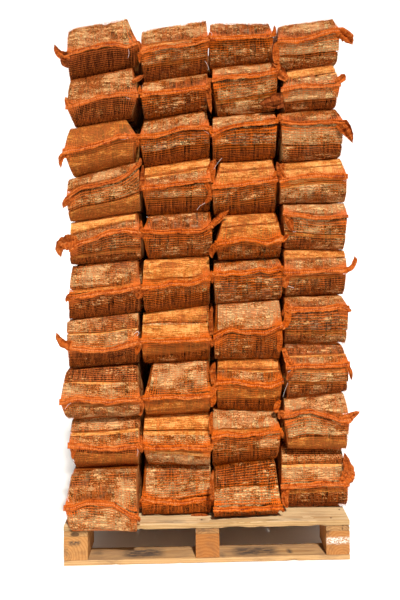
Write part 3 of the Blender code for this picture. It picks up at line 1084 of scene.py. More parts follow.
def logShell(sack, section, finish, shows, outline, key, rng):
    # one log along the sack: points, faces, each face's wood, and each point's seed, look and place in the trunk
    kind, *look = finishes[finish]
    look = np.array(look) + (rng.uniform(-logShape["paleStray"], logShape["paleStray"]), 0.0, 0.0)
    count, steps = logShape["fine" if shows else "plain"]
    ring, owner = roundPolygon(section, rng.uniform(*logShape["easing"]), count)
    sideKind = []
    for a, b in zip(section, section[1:] + section[:1]):
        front = max(a[0], b[0]) < logShape["faceDeep"]
        if front or sideIsOuter(a, b, outline):
            sideKind.append(0 if kind == "bark" else 1)
        else:
            sideKind.append(1 if rng.random() < logShape["fresh"] else 0)
    kindAt = np.array([sideKind[k] for k in owner])
    ends = []
    for outerColumn in (1, load["columns"]):
        short = shows and sack["spot"][1] != outerColumn and rng.random() < logShape["shortShare"]
        ends.append(rng.uniform(*logShape["shortEnd" if short else "endGap"]))
    x0, x1 = sack["left"] + ends[0], sack["right"] - ends[1]
    share = np.linspace(0, 1, steps + 1)
    xs = x0 + (x1 - x0) * share
    middle = ring.mean(axis=0)
    spread = ring - middle
    out = spread / np.linalg.norm(spread, axis=1, keepdims=True)
    seed = rng.uniform(0, 9)
    rows = np.repeat(ring[None], steps + 1, axis=0)
    sample = np.zeros((*rows.shape[:2], 3))
    sample[..., 0] = xs[:, None]
    sample[..., 1:] = rows * 0.001 + seed

    def noise(name, offset):
        return valueNoise(sample / logShape[name], key + offset)

    lumps = noise("lumps", 0) + 0.5 * noise("pits", 3)
    relief = np.where(kindAt[None, :] == 0, (lumps - 0.30) * logShape["barkRelief"],
                      (noise("splinters", 5) - 0.25) * logShape["splitRelief"])
    if not shows:
        relief = relief * logShape["hiddenRelief"]
    bulge = noise("bulges", 9) * logShape["bulge"] - logShape["bulgeSink"]
    rows = rows + np.minimum(relief + bulge, logShape["proud"])[..., None] * 1000 * out[None]
    # a sawn end is seldom square
    cut = rng.uniform(-logShape["cutSlant"], logShape["cutSlant"])
    x = xs[:, None] + cut * (rows[..., 1] / 100) * (share[:, None] * 2 - 1) ** 2
    place = sackPoint(sack, x, rows[..., 0] * 0.001, rows[..., 1] * 0.01)
    pith = middle + rng.uniform(-1, 1, 2) * logShape["pithStray"]
    heart = np.zeros((*rows.shape[:2], 3))
    heart[..., 1:] = (rows - pith) * 0.001
    points, hearts = [place.reshape(-1, 3)], [heart.reshape(-1, 3)]
    faces = [f[::-1] for f in gridFaces(steps + 1, count)]
    first = (steps + 1) * count
    inwards, outwards = logShape["endBevel"]
    for row, sign in ((0, -1), (steps, 1)):
        inner = place[row] + (place[row].mean(axis=0) - place[row]) * inwards
        inner[:, 0] += sign * outwards
        points += [inner, inner.mean(axis=0, keepdims=True)]
        hearts += [heart[row] * 0.96, heart[row].mean(axis=0, keepdims=True)]
        faces += capFaces(row * count, first, count, 1, row > 0)
        first += count + 1
    kinds = np.concatenate([np.tile(kindAt, steps), np.full(4 * count, 2)])
    return np.vstack(points), faces, kinds, np.full(first, seed), np.tile(look, (first, 1)), np.vstack(hearts)


def makeLogs(sack):
    rng = random(*sack["key"], 11)
    outline = bundleOutline(sack)
    shells = []
    for index, (section, finish, shows) in enumerate(logSections(sack, planLogs(sack, rng))):
        key = sack["layer"] * 97 + sack["column"] * 13 + index + 400 * (sack["facing"] > 0)
        shells.append(logShell(sack, section, finish, shows, outline, key, rng))
    points, faces, kinds, seeds, looks, hearts = joined(shells)
    piece = newObject(sackName("logs", sack), points, faces, (barkMaterial, splitMaterial, endMaterial), kinds)
    addAttribute(piece, "logSeed", "FLOAT", seeds)
    addAttribute(piece, "logLook", "FLOAT_VECTOR", looks)
    addAttribute(piece, "ringPoint", "FLOAT_VECTOR", hearts)
    return piece


# Net

netShape = {
    "across": 24,          # points along the top and the bottom of each ring
    "sides": 9,            # points down each side
    "ring": (0.29, 0.205, 0.008),    # a usual sack's width and height, and the radius of its corners
    "deepestSag": 0.046,
    "clearance": 0.0020,
    "probe": (0.002, 0.05),    # how far above the net the search for a log starts, and how far it goes
    "relaxing": 6,
    "bunchReach": 0.052,
    "bunching": (0.6, 1.0),
    "toneStray": 0.2,
    "widthRow": 8,         # the ring on which the mesh cells have their full width
    "straight": 0.075,     # the last plain ring lies this far before the mouth
    "neck": 0.03,
    "mouthPleat": (0.10, 2.1),    # height, and turn from point to point
    "depths": (0.0, 0.005, 0.010, 0.016, 0.024, 0.034, 0.046, 0.060, 0.080, 0.105, 0.14, 0.18, 0.225, 0.27, 0.315),
    "gather": ((0.45, 0.003), (0.16, 0.006), (0.10, 0.009)),    # the drawn mouth: size left, and step back
}

# A hem's section from its root to its free edge and back: mm forward, mm up
hemSections = {
    "flat": ((-1, 12), (3.0, 11.4), (5.0, 6), (6.0, -1), (7.6, -9), (7.4, -12.0), (5.6, -11.5), (2.0, -2)),
    "roll": ((-1, 10), (3.8, 10.6), (7.4, 7.0), (9.0, 1), (9.2, -6.5), (7.0, -11), (3.6, -11), (1.5, -3)),
    "double": ((-1, 12), (5.6, 11), (7.2, 6.0), (4.0, 0.6), (7.6, -3), (8.6, -9), (6.4, -12.5), (2.2, -6)),
}
hemKinds = ("flat", "roll", "double", "flat", "flat")
hemShape = {
    "steps": 62,
    "past": 0.004,         # how far it stands out past the sack's sides
    # how its parts swell and shrink along it: plain size, then length, share and seed of two ripples
    "upper": (0.94, (0.040, 0.26, 17), (0.013, 0.10, 21)),
    "lower": (0.96, (0.034, 0.24, 27), (0.012, 0.14, 29)),
    "swell": (1.00, (0.027, 0.30, 3), (0.009, 0.22, 9)),
    "tipShade": 0.45,
}


def ringShape():
    # one turn of the net round the logs, from -1 to 1 both ways, anticlockwise from bottom left
    corners = []
    width, height, radius = netShape["ring"]
    a, b = radius / (width / 2), radius / (height / 2)
    for cx, cy, start in ((1 - a, -1 + b, -90), (1 - a, 1 - b, 0), (-1 + a, 1 - b, 90), (-1 + a, -1 + b, 180)):
        angles = [math.radians(start + 45 * step) for step in range(3)]
        corners.append([(cx + a * math.cos(t), cy + b * math.sin(t)) for t in angles])
    ring = []
    for index, count in enumerate((netShape["across"], netShape["sides"]) * 2):
        before, after = corners[index - 1], corners[index]
        ring += before[1:]
        p, q = before[-1], after[0]
        for k in range(1, count):
            t = k / count
            ring.append((p[0] + (q[0] - p[0]) * t, p[1] + (q[1] - p[1]) * t))
        ring.append(q)
    return np.array(ring)


def netRings(sack):
    ring = ringShape()
    length = sackLength(sack)
    depths = [d for d in netShape["depths"] if d < length - netShape["straight"]]
    depths += [length - sackShape["mouthTaper"], length - netShape["neck"], length]
    middleX = (sack["left"] + sack["right"]) / 2
    rows = []
    for depth in depths:
        below, above = opening(sack, depth)
        inset = np.interp(depth, (length - sackShape["mouthTaper"], length), (0, sackShape["mouthInset"]))
        x = middleX + ring[:, 0] * ((sack["right"] - sack["left"]) / 2 - inset)
        level = np.where(ring[:, 1] > 0, ring[:, 1] * above, ring[:, 1] * below)
        rows.append(sackPoint(sack, x, depth, level))
    mouth = rows[-1]
    centre = mouth.mean(axis=0)
    high, turn = netShape["mouthPleat"]
    pleat = 1 + high * np.sin(np.arange(len(mouth)) * turn)
    for shrink, step in netShape["gather"]:
        closing = centre + (mouth - centre) * shrink * pleat[:, None]
        closing[:, 1] = sack["mouthY"] + step
        rows.append(closing)
    return np.array(rows), len(depths)


def gridNormals(rows):
    along = np.gradient(rows, axis=0)
    around = np.roll(rows, -1, axis=1) - np.roll(rows, 1, axis=1)
    normal = np.cross(around, along)
    normal /= np.maximum(np.linalg.norm(normal, axis=-1, keepdims=True), 1e-9)
    centre = rows.mean(axis=1, keepdims=True)
    outward = np.sum(normal * (rows - centre), axis=-1, keepdims=True)
    return normal * np.where(outward < 0, -1.0, 1.0)


def settleNet(rows, logs, kept):
    # the net sags between the logs and is held off by them
    tree = BVHTree.FromPolygons([v.co for v in logs.data.vertices], [p.vertices for p in logs.data.polygons])
    normals = gridNormals(rows)
    above, reach = netShape["probe"]

    def beside(values):
        padded = np.pad(values, ((1, 1), (0, 0)), mode="edge")
        return padded[:-2], padded[2:], np.roll(values, 1, axis=1), np.roll(values, -1, axis=1)

    limit = np.full(rows.shape[:2], netShape["deepestSag"])
    for i in range(2, kept):
        for j in range(rows.shape[1]):
            hit = tree.ray_cast(Vector(rows[i, j] + normals[i, j] * above), Vector(-normals[i, j]), reach)
            if hit[0] is not None:
                limit[i, j] = max(0.0, hit[3] - above - netShape["clearance"])
    limit = np.minimum(limit, np.minimum.reduce(beside(limit)))
    limit[:2] = 0
    limit[kept:] = 0
    sag = limit
    for _ in range(netShape["relaxing"]):
        sag = np.minimum(limit, sum(beside(sag)) / 4)
        sag[:2] = 0
    return rows - normals * sag[..., None]


def tubeShell(rings):
    # a closed tube through rings of points, capped at both ends
    steps, count = rings.shape[:2]
    faces = gridFaces(steps, count)
    faces += [tuple(range(count))[::-1], tuple(range((steps - 1) * count, steps * count))]
    return rings.reshape(-1, 3), faces


def hemStrip(sack, rng):
    # the sewn hem: a flattened roll of net that hangs over the lower face
    section = np.array(hemSections[hemKinds[rng.integers(len(hemKinds))]]) * 0.001
    x = np.linspace(sack["left"] - hemShape["past"], sack["right"] + hemShape["past"], hemShape["steps"] + 1)
    seamX = np.clip(x, sack["left"], sack["right"])
    z = lineAt(sack, "seamZ", seamX) + waveAt(sack, seamX)
    y = lineAt(sack, "seamY", seamX)
    key = sack["layer"] * 31 + sack["column"] * 7 + (sack["facing"] > 0) * 3

    def rippled(part):
        size, *ripples = hemShape[part]
        for length, share, seed in ripples:
            size = size + share * valueNoise(np.stack([x / length, z * 0 + key, z * 0 + seed], axis=-1), seed)
        return size[:, None]

    upper, lower = sack["hemHeight"] * rippled("upper"), sack["hemHeight"] * rippled("lower")
    rings = np.zeros((len(x), len(section), 3))
    rings[..., 0] = x[:, None]
    rings[..., 1] = y[:, None] - section[:, 0] * rippled("swell")
    rings[..., 2] = z[:, None] + section[:, 1] * np.where(section[:, 1] > 0, upper, lower)
    weave = np.zeros(rings.shape)
    weave[..., 0] = x[:, None]
    weave[..., 1] = travelled(section)
    weave[..., 2] = key * 0.37
    points, faces = tubeShell(rings)
    # painted shade on the underside of the hem's free edge
    shade = np.zeros(rings.shape[:2])
    shade[:, -3:] = hemShape["tipShade"]
    return points, [f[::-1] for f in faces], weave.reshape(-1, 3), shade.ravel()


# Loose ends of the hems and their folded corners, in photo pixels: across, down and width.
looseEnds = {
    (1, 1): (((70, 57, 9), (63, 56, 8.5), (57, 51, 6), (54.5, 44.5, 2)),
             ((71, 58, 9), (66, 59, 10), (65, 63, 8), (68, 68, 3))),
    (1, 2): (((192, 40, 4), (201, 40, 7), (209, 41, 5)),),
    (1, 4): (((336, 31, 6), (342, 32.5, 12), (347.5, 37, 13), (350.5, 41, 8), (352.5, 44.5, 2)),
             ((280, 42, 4), (276.5, 46, 6), (276, 55, 7), (277, 64, 6), (279, 71, 3))),
    (2, 1): (((73, 108, 6), (68, 104, 6), (65.5, 97, 3)), ((132, 82, 4), (139, 78, 5), (144, 75, 2))),
    (2, 3): (((209, 78, 4), (208.5, 87, 5), (209, 97, 5), (210, 106, 4), (211, 113, 2)),),
    (2, 4): (((283, 100, 15), (277, 101, 16), (269, 102.5, 11), (263, 103.5, 6), (258.5, 104.5, 2.5)),
             ((287, 80, 5), (280, 73, 12), (275, 67, 10), (272, 63, 4)), ((336, 82, 6), (342, 78, 8), (344.5, 74, 4))),
    (3, 1): (((68, 153, 8), (62.5, 156, 7), (60.5, 161, 5), (61, 168, 2)),),
    (3, 3): (((262, 123, 5), (272, 121, 6), (279, 120, 4)),),
    (3, 4): (((338, 122.5, 7), (343.5, 126, 13), (347, 131.5, 12), (350, 137, 7), (352.5, 143, 2)),),
    (4, 1): (((72, 196, 7), (66, 202, 7), (63, 208, 3)),),
    (4, 2): (((206, 183, 5), (210, 191, 5), (209, 199, 5), (204, 203, 3)),
             ((141, 191, 5), (141.5, 182, 5), (142, 173, 4), (143, 165, 3))),
    (4, 3): (((273, 180, 6), (279, 171, 7), (284, 163, 4)),
             ((211, 183, 6), (211, 175, 8), (212, 167, 8), (215, 159, 5))),
    (4, 4): (((285, 180, 5), (280, 171, 7), (277, 162, 4)),),
    (5, 1): (((77, 243, 13), (69, 242.5, 16), (62.5, 245, 13), (59.5, 250, 8), (61, 257, 3)),),
    (5, 2): (((207, 230, 6), (214, 223, 7), (222, 216, 6), (229, 210, 2)),),
    (5, 3): (((229, 242, 6), (219, 245, 7), (212, 251, 7), (212, 258, 3)),
             ((281, 241, 5), (286, 237, 4), (289, 234, 2))),
    (5, 4): (((285, 216, 4), (289, 222, 7), (293, 231, 5)),),
    (6, 1): (((75, 297, 6), (69, 296, 5), (66, 302, 2.5)),),
    (6, 2): (((150, 286, 5), (143, 290, 8), (139, 295, 8), (137, 299, 6)),),
    (6, 4): (((345, 271, 6), (351, 268, 5), (355, 261, 5), (354.5, 256, 2)),
             ((290, 272, 6), (286, 278, 8), (285.5, 288, 7))),
    (7, 1): (((72, 346, 11), (64, 344, 9), (59, 339, 6), (56.5, 332.5, 2)),),
    (7, 2): (((142, 339, 5), (138, 346, 6), (137, 355, 4)),),
    (7, 3): (((279, 329, 6), (286, 323, 7), (288, 313, 7), (286, 303, 7)),
             ((226, 331, 5), (219, 334, 7), (214, 339, 7)),
             ((279, 331, 6), (280, 341, 6), (279, 352, 5)),
             ((212, 335, 4), (211, 325, 5), (211, 315, 4), (212, 306, 3))),
    (7, 4): (((338, 309, 4), (345, 309, 5), (351.5, 311, 5)),),
    (8, 2): (((142, 396, 5), (141.5, 406, 5), (140.5, 416, 3)),),
    (8, 3): (((217, 384, 5), (213, 391, 7), (213, 399, 7), (211.5, 407, 4)),
             ((280, 400, 3), (277, 406, 6), (276, 413, 5)),
             ((214, 384, 5), (213, 376, 6), (213, 368, 5), (215, 362, 3))),
    (8, 4): (((283, 348, 4), (287, 358, 6), (291, 370, 8), (287, 380, 5)),
             ((348, 366, 4), (350.5, 373, 4), (351.5, 380, 2))),
    (9, 1): (((78, 446, 5), (73.5, 451, 5), (72.5, 459, 3)),),
    (9, 3): (((212, 434, 5), (211, 426, 5), (211, 418, 4), (212, 412, 3)),),
    (9, 4): (((340, 421, 8), (349, 418, 8), (356, 413.5, 5), (360, 411.5, 1.5)),
             ((286, 417, 6), (281, 413, 6), (279, 419, 4))),
    (10, 2): (((191, 516, 4), (201, 516.5, 6), (210, 517, 4)),),
    (10, 3): (((213, 500, 4), (212, 490, 5), (212, 480, 4), (213, 470, 3)),),
    (10, 4): (((341, 484, 12), (347, 480, 13), (351.5, 475.5, 9), (355, 471.5, 2)),
              ((347, 477, 14), (348.5, 469, 11), (346.5, 461, 7), (344.5, 453, 3)),
              ((291, 486, 6), (286, 492, 7), (285, 500, 7), (287, 508, 4))),
}

# Tails of the white sewing thread, in photo pixels
threadTails = {
    (1, 1): (((128, 48), (129, 53), (128, 58)),),
    (1, 2): (((208, 30), (212, 34), (209, 40)), ((205, 61), (208, 66), (209, 70))),
    (2, 1): (((124, 96), (127, 98), (130, 99)),),
    (3, 1): (((61, 166), (61.5, 173), (62.5, 179)), ((119, 139), (124, 139.5), (128, 138))),
    (3, 2): (((203, 130), (208, 133), (212, 138)),),
    (4, 1): (((63, 206), (61.5, 211), (62, 216)),),
    (4, 2): (((205, 203), (200, 206), (197, 210)),),
    (4, 3): (((213, 171), (217, 164), (222, 158)),),
    (5, 4): (((292, 230), (294, 232), (296, 231)),),
    (6, 4): (((288, 286), (291, 287), (294, 288)),),
    (7, 2): (((134, 334), (137, 331.5), (139, 333), (137, 336)),),
    (8, 1): (((71, 403), (68, 405), (65, 409)),),
    (8, 4): (((288, 368), (291, 370), (288, 372)), ((288, 383), (285, 390), (283, 397))),
    (9, 1): (((136, 447), (138, 451), (137, 456)), ((73, 459), (74, 462), (72, 466))),
    (10, 1): (((69, 494), (67.5, 498), (69, 502)),),
}

looseShape = {
    "proud": 0.005,        # a loose end lies this far in front of what is behind it
    "floatBack": 0.012,    # the most that it goes behind its hem
    "thickness": 0.0008,
    "across": 9,
    "pleat": 0.13,         # depth of its pleats, as a share of its width
    "ragged": 0.17,
    "pleats": (1.0, 1.9),
    "tip": (0.8, 0.2, 0.75),    # where its tip starts along it, how long that is, and how much narrower it gets
    "curl": 0.30,
    "shade": (0.25, 0.60), # how much painted shade it has at its tip
    # the ones in deep painted shade, by sack and number
    "dark": {((1, 1), 1): 0.8, ((2, 4), 0): 0.80, ((10, 2), 0): 0.7, ((2, 3), 0): 0.5, ((4, 2), 1): 0.6,
             ((7, 3), 3): 0.6, ((8, 3), 2): 0.5, ((9, 3), 0): 0.4, ((10, 3), 0): 0.6},
    "threadRadius": 0.0008,
    "earWays": (-1, -1, 1),    # an ear is pressed down twice as often as up
    "earReach": (0.026, 0.050),
    "earLine": ((-0.012, -0.006, 0.017), (0.001, -0.007, 0.019), (0.006, -0.001, 0.015), (0.005, 0.008, 0.007)),
    "earRoom": 0.05,       # no ear where a loose end starts this near
}

# How coral or orange the nets of each column are
netTones = {1: 0.85, 2: 0.30, 3: 0.15, 4: 0.70}
loadSurface = {}


def smoothPath(knots, parts):
    # a curve through the knots, with the same number of parts between each two
    knots = np.array(knots, float)
    padded = np.vstack([2 * knots[0] - knots[1], knots, 2 * knots[-1] - knots[-2]])
    path = []
    for k in range(1, len(padded) - 2):
        a, b, c, d = padded[k - 1:k + 3]
        for t in np.arange(parts) / parts:
            bend = (2 * a - 5 * b + 4 * c - d) * t * t + (3 * b - a - 3 * c + d) * t ** 3
            path.append(0.5 * (2 * b + (c - a) * t + bend))
    path.append(padded[-2])
    return np.array(path)


def layOnLoad(sack, path):
    # the path in photo pixels, laid on the face of the load that is behind it
    if not loadSurface:
        corners, faces = [], []
        for name, piece in frame["nodes"].items():
            if name.startswith("sacks"):
                start = len(corners)
                corners += [v.co.copy() for v in piece.data.vertices]
                faces += [[start + v for v in p.vertices] for p in piece.data.polygons]
        loadSurface["tree"] = BVHTree.FromPolygons(corners, faces)
    frontY = min(sack["seamY"])
    start = Vector(photoCamera["place"])
    depths = []
    for across, down in path[:, :2]:
        ray = photoPoint(across, down, frontY) - start
        hit = loadSurface["tree"].ray_cast(start, ray.normalized())
        y = hit[0].y if hit[0] is not None else frontY
        depths.append(min(y, frontY + looseShape["floatBack"]) - looseShape["proud"])
    depths = np.minimum(evened(depths, 3), frontY + looseShape["floatBack"])
    return np.array([photoPoint(a, d, y) for (a, d), y in zip(path[:, :2], depths)])


def flapShell(line, widths, rng, brown=None):
    # a thin crumpled flap of net along a line, with pleats that run to its tip
    count = looseShape["across"]
    steps = len(line)
    tangent = np.gradient(line, axis=0)
    tangent /= np.linalg.norm(tangent, axis=1, keepdims=True)
    side = np.cross(tangent, (0.0, -1.0, 0.0))
    side /= np.maximum(np.linalg.norm(side, axis=1, keepdims=True), 1e-6)
    face = np.cross(side, tangent)
    reach = travelled(line)
    share = reach / reach[-1]
    tipFrom, tipLong, tipLoss = looseShape["tip"]
    tip = np.where(share > tipFrom, 1 - tipLoss * ((share - tipFrom) / tipLong) ** 2, 1.0)
    start = rng.uniform(0, 60)
    u, k = np.meshgrid(np.linspace(-1, 1, count), np.arange(steps) * 0.8)

    def crumple(across, along, seed):
        return valueNoise(np.stack([u * across + start, k * along, u * 0 + start], axis=-1), seed)

    ragged = 1 + looseShape["ragged"] * valueNoise(np.stack([np.sign(u) * 9 + start, k * 0.9, u * 0], axis=-1), 5)
    half = (widths * tip)[:, None] / 2
    out = u * half * ragged
    pleats = np.sin(np.pi * rng.uniform(*looseShape["pleats"]) * u + rng.uniform(0, 6.28) + 0.7 * crumple(0.5, 0.4, 11))
    lift = half * 2 * looseShape["pleat"] * (pleats + 1.1 * crumple(2.1, 0.8, 13)) * smooth(share * 5)[:, None]
    along = half * looseShape["curl"] * crumple(1.7, 0.7, 19) * share[:, None]
    middle = line[:, None] + side[:, None] * out[..., None] + face[:, None] * lift[..., None]
    middle = middle + tangent[:, None] * along[..., None]
    thick = face[:, None] * (looseShape["thickness"] / 2 * (1.15 - abs(u)))[..., None]
    rings = np.concatenate([middle + thick, (middle - thick)[:, ::-1]], axis=1)
    weave = np.zeros(rings.shape)
    weave[..., 0] = np.concatenate([out, out[:, ::-1]], axis=1) + start * 0.01
    weave[..., 1] = 0.08 + reach[:, None]
    # painted shade: given brown, the flap is that brown all along, else it browns towards its tip; its back is browner
    # still
    shade = brown or rng.uniform(*looseShape["shade"]) * (0.35 + 0.65 * share)[:, None]
    shade = shade + 0.15 * crumple(1.5, 0.6, 23)
    shade = np.clip(np.concatenate([shade, shade[:, ::-1] + 0.25], axis=1), 0, 1)
    points, faces = tubeShell(rings)
    return points, faces, weave.reshape(-1, 3), shade.ravel()


def looseStrip(sack, knots, rng, brown):
    # a loose end that the photo shows: its path is given in photo pixels
    path = smoothPath(knots, 5)
    line = layOnLoad(sack, path)
    pixel = (photoPoint(201, 300, line[0][1]) - photoPoint(200, 300, line[0][1])).length
    return flapShell(line, np.maximum(path[:, 2], 1.2) * pixel, rng, brown)


def cornerEar(sack, side, rng):
    # the small ear of net at the end of a seam, pressed down or up between two sacks
    x = sack["left"] if side < 0 else sack["right"]
    z = lineAt(sack, "seamZ", x) + waveAt(sack, x)
    y = lineAt(sack, "seamY", x)
    way = rng.choice(looseShape["earWays"])
    reach = rng.uniform(*looseShape["earReach"])
    levels = (0.0, 0.006, reach * 0.55, reach)
    path = smoothPath([(x + side * outwards, y + back, z + way * level, width)
                       for (outwards, back, width), level in zip(looseShape["earLine"], levels)], 5)
    return flapShell(path[:, :3], path[:, 3], rng)


def threadTail(sack, knots):
    line = layOnLoad(sack, smoothPath(knots, 4))
    radius = looseShape["threadRadius"]
    rings = np.stack([line + np.array((math.cos(t), 0.0, math.sin(t))) * radius * 0.7 +
                      np.array((0.0, math.sin(t + 0.8), 0.0)) * radius
                      for t in np.arange(5) / 5 * 2 * math.pi], axis=1)
    points, faces = tubeShell(rings)
    return points, faces, np.zeros((len(points), 3)), np.zeros(len(points))


def makeNetPiece(sack, logs):
    rng = random(*sack["key"], 23)
    rows, kept = netRings(sack)
    rows = settleNet(rows, logs, kept)
    closedRows = np.concatenate([rows, rows[:, :1]], axis=1)
    weave = np.zeros(closedRows.shape)
    weave[..., 0] = travelled(closedRows[netShape["widthRow"]])
    weave[1:, :, 1] = np.cumsum(np.linalg.norm(np.diff(rows, axis=0), axis=-1).mean(axis=1))[:, None]
    for side, end in ((0, sack["left"]), (1, sack["right"])):
        tip = np.array((end, sack["seamY"][side], sack["seamZ"][side] + waveAt(sack, end)))
        away = np.linalg.norm((closedRows - tip) / (1.0, 1.0, 0.8), axis=-1)
        near = smooth(1.15 - away / netShape["bunchReach"]) * rng.uniform(*netShape["bunching"])
        weave[..., 2] = np.maximum(weave[..., 2], near)
    points = closedRows.reshape(-1, 3)
    faces = gridFaces(*closedRows.shape[:2], closed=False)
    net = (points, faces, weave.reshape(-1, 3), np.zeros(len(points)))
    flaps = looseEnds.get(sack["spot"], ())
    hems = [hemStrip(sack, rng)]
    for number, knots in enumerate(flaps):
        hems.append(looseStrip(sack, knots, rng, looseShape["dark"].get((sack["spot"], number))))
    started = [photoPoint(*knots[0][:2], min(sack["seamY"])).x for knots in flaps]
    for side, end, outerColumn in ((-1, sack["left"], 1), (1, sack["right"], load["columns"])):
        if sack["spot"][1] != outerColumn and all(abs(x - end) > looseShape["earRoom"] for x in started):
            hems.append(cornerEar(sack, side, rng))
    threads = [threadTail(sack, knots) for knots in threadTails.get(sack["spot"], ())]
    groups = ([net], hems, threads)
    kinds = np.concatenate([np.full(len(shell[1]), kind) for kind, group in enumerate(groups) for shell in group])
    points, faces, weaves, shades = joined([shell for group in groups for shell in group])
    materials = (netMaterial, hemMaterial, threadMaterial)
    piece = newObject(sackName("net", sack), turned(sack, points), faces, materials, kinds)
    addAttribute(piece, "weave", "FLOAT_VECTOR", weaves)
    tone = netTones[sack["spot"][1]] + rng.uniform(-netShape["toneStray"], netShape["toneStray"])
    addAttribute(piece, "netTone", "FLOAT", np.full(len(points), tone))
    addAttribute(piece, "netShade", "FLOAT", shades)
    finishObject(piece, [sack["node"]], 42)


def makeSacks():
    for facing in (-1, 1):
        for layer in range(1, load["layers"] + 1):
            for column in range(1, load["columns"] + 1):
                sack = readSack(layer, column, facing)
                logs = makeLogs(sack)
                makeNetPiece(sack, logs)
                logs.data.vertices.foreach_set("co", turned(sack, [v.co for v in logs.data.vertices]).ravel())
                finishObject(logs, [sack["node"]], 38)
        print("sacks made, facing", facing)


makeSacks()


# Pallet timbers

timberShape = {
    "alongStep": 0.018,
    "acrossStep": 0.014,
    "thickStep": 0.0075,
    "heartBelow": {"deck": 0.05, "stringer": 0.06, "block": 0.045, "bottom": -0.05},
    "edgeEase": 0.0016,
    "faceDeep": 0.004,     # a point this near a face belongs to it
    "waver": 0.0010, "waverLong": 0.06,
    "chipDeep": 0.0035, "chipLong": 0.028, "chipRare": 0.35,
    "endRings": (0.97, 0.85, 0.71, 0.56, 0.40, 0.22),    # rings of points on a sawn end, as shares of its outline
    "grain": {"deck": 0, "stringer": 1, "block": 1, "bottom": 0},
    "heartStray": 0.05,
}
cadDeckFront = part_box("deck_board_1")[0][1]
# How much darker and redder a timber is than the palest, where the photo shows it
timberTones = {"block_1_1": 0.05, "block_2_1": 0.95, "block_3_1": 0.55, "stringer_board_2": 0.6}

# Marks on the timbers. "mark" is a dark smear, "scuff" a whitened band, "knot" a knot or a split.
# On the front faces: photo pixels of the middle, and half the reach across and down.
frontMarks = (
    ("knot", (75, 534.5), (5.5, 2.6), 1.0),
    ("knot", (342.5, 527), (1.0, 4.0), 1.0),
    ("mark", (74.5, 543.5), (6.0, 2.6), 0.9),
    ("mark", (66, 552), (2.5, 5.0), 0.4),
    ("scuff", (338, 540.5), (15.0, 3.4), 1.0),
    ("mark", (328, 533), (2.5, 3.0), 0.5),
    ("mark", (200, 530.5), (6.0, 1.6), 0.5),
    ("mark", (331, 524), (1.5, 1.2), 0.8),
    ("mark", (213, 537.5), (7.0, 1.0), 0.35),
)
# On the front bottom board's upper face, in metres.
topMarks = (
    ("mark", (-0.275, -0.452, 0.022), (0.092, 0.036, 0.02), 0.95),
    ("mark", (0.205, -0.455, 0.022), (0.100, 0.036, 0.02), 0.95),
    ("mark", (0.345, -0.462, 0.022), (0.007, 0.020, 0.02), 1.0),
    ("mark", (-0.470, -0.440, 0.022), (0.030, 0.030, 0.02), 0.5),
    ("mark", (0.060, -0.480, 0.022), (0.020, 0.018, 0.02), 0.5),
    ("knot", (-0.020, -0.470, 0.166), (0.016, 0.011, 0.02), 0.8),
    ("knot", (0.430, -0.468, 0.166), (0.010, 0.008, 0.02), 0.7),
    ("mark", (-0.150, -0.478, 0.166), (0.060, 0.012, 0.02), 0.5),
    ("mark", (0.320, -0.480, 0.166), (0.080, 0.010, 0.02), 0.45),
)


def readMarks():
    pixel = (photoPoint(201, 540, cadDeckFront) - photoPoint(200, 540, cadDeckFront)).length
    marks = [(what, np.array(middle), np.array(reach), strength) for what, middle, reach, strength in topMarks]
    for what, (across, down), (wide, high), strength in frontMarks:
        reach = np.array((wide * pixel, 0.012, high * pixel))
        marks.append((what, np.array(photoPoint(across, down, cadDeckFront)), reach, strength))
    return marks


def timberRing(width, height):
    # the section of a sawn piece with eased edges, anticlockwise
    ease = timberShape["edgeEase"]
    a, b = width / 2, height / 2
    across = max(2, round(width / timberShape["acrossStep"]))
    thick = max(2, round(height / timberShape["thickStep"]))
    corners = ((a, -b), (a, b), (-a, b), (-a, -b))
    counts = (thick, across, thick, across)
    ring = []
    for k in range(4):
        p, q = np.array(corners[k]), np.array(corners[(k + 1) % 4])
        way = (q - p) / np.linalg.norm(q - p)
        start, end = p + way * ease, q - way * ease
        for t in np.arange(counts[k] + 1) / counts[k]:
            ring.append(start + (end - start) * t)
    return np.array(ring)


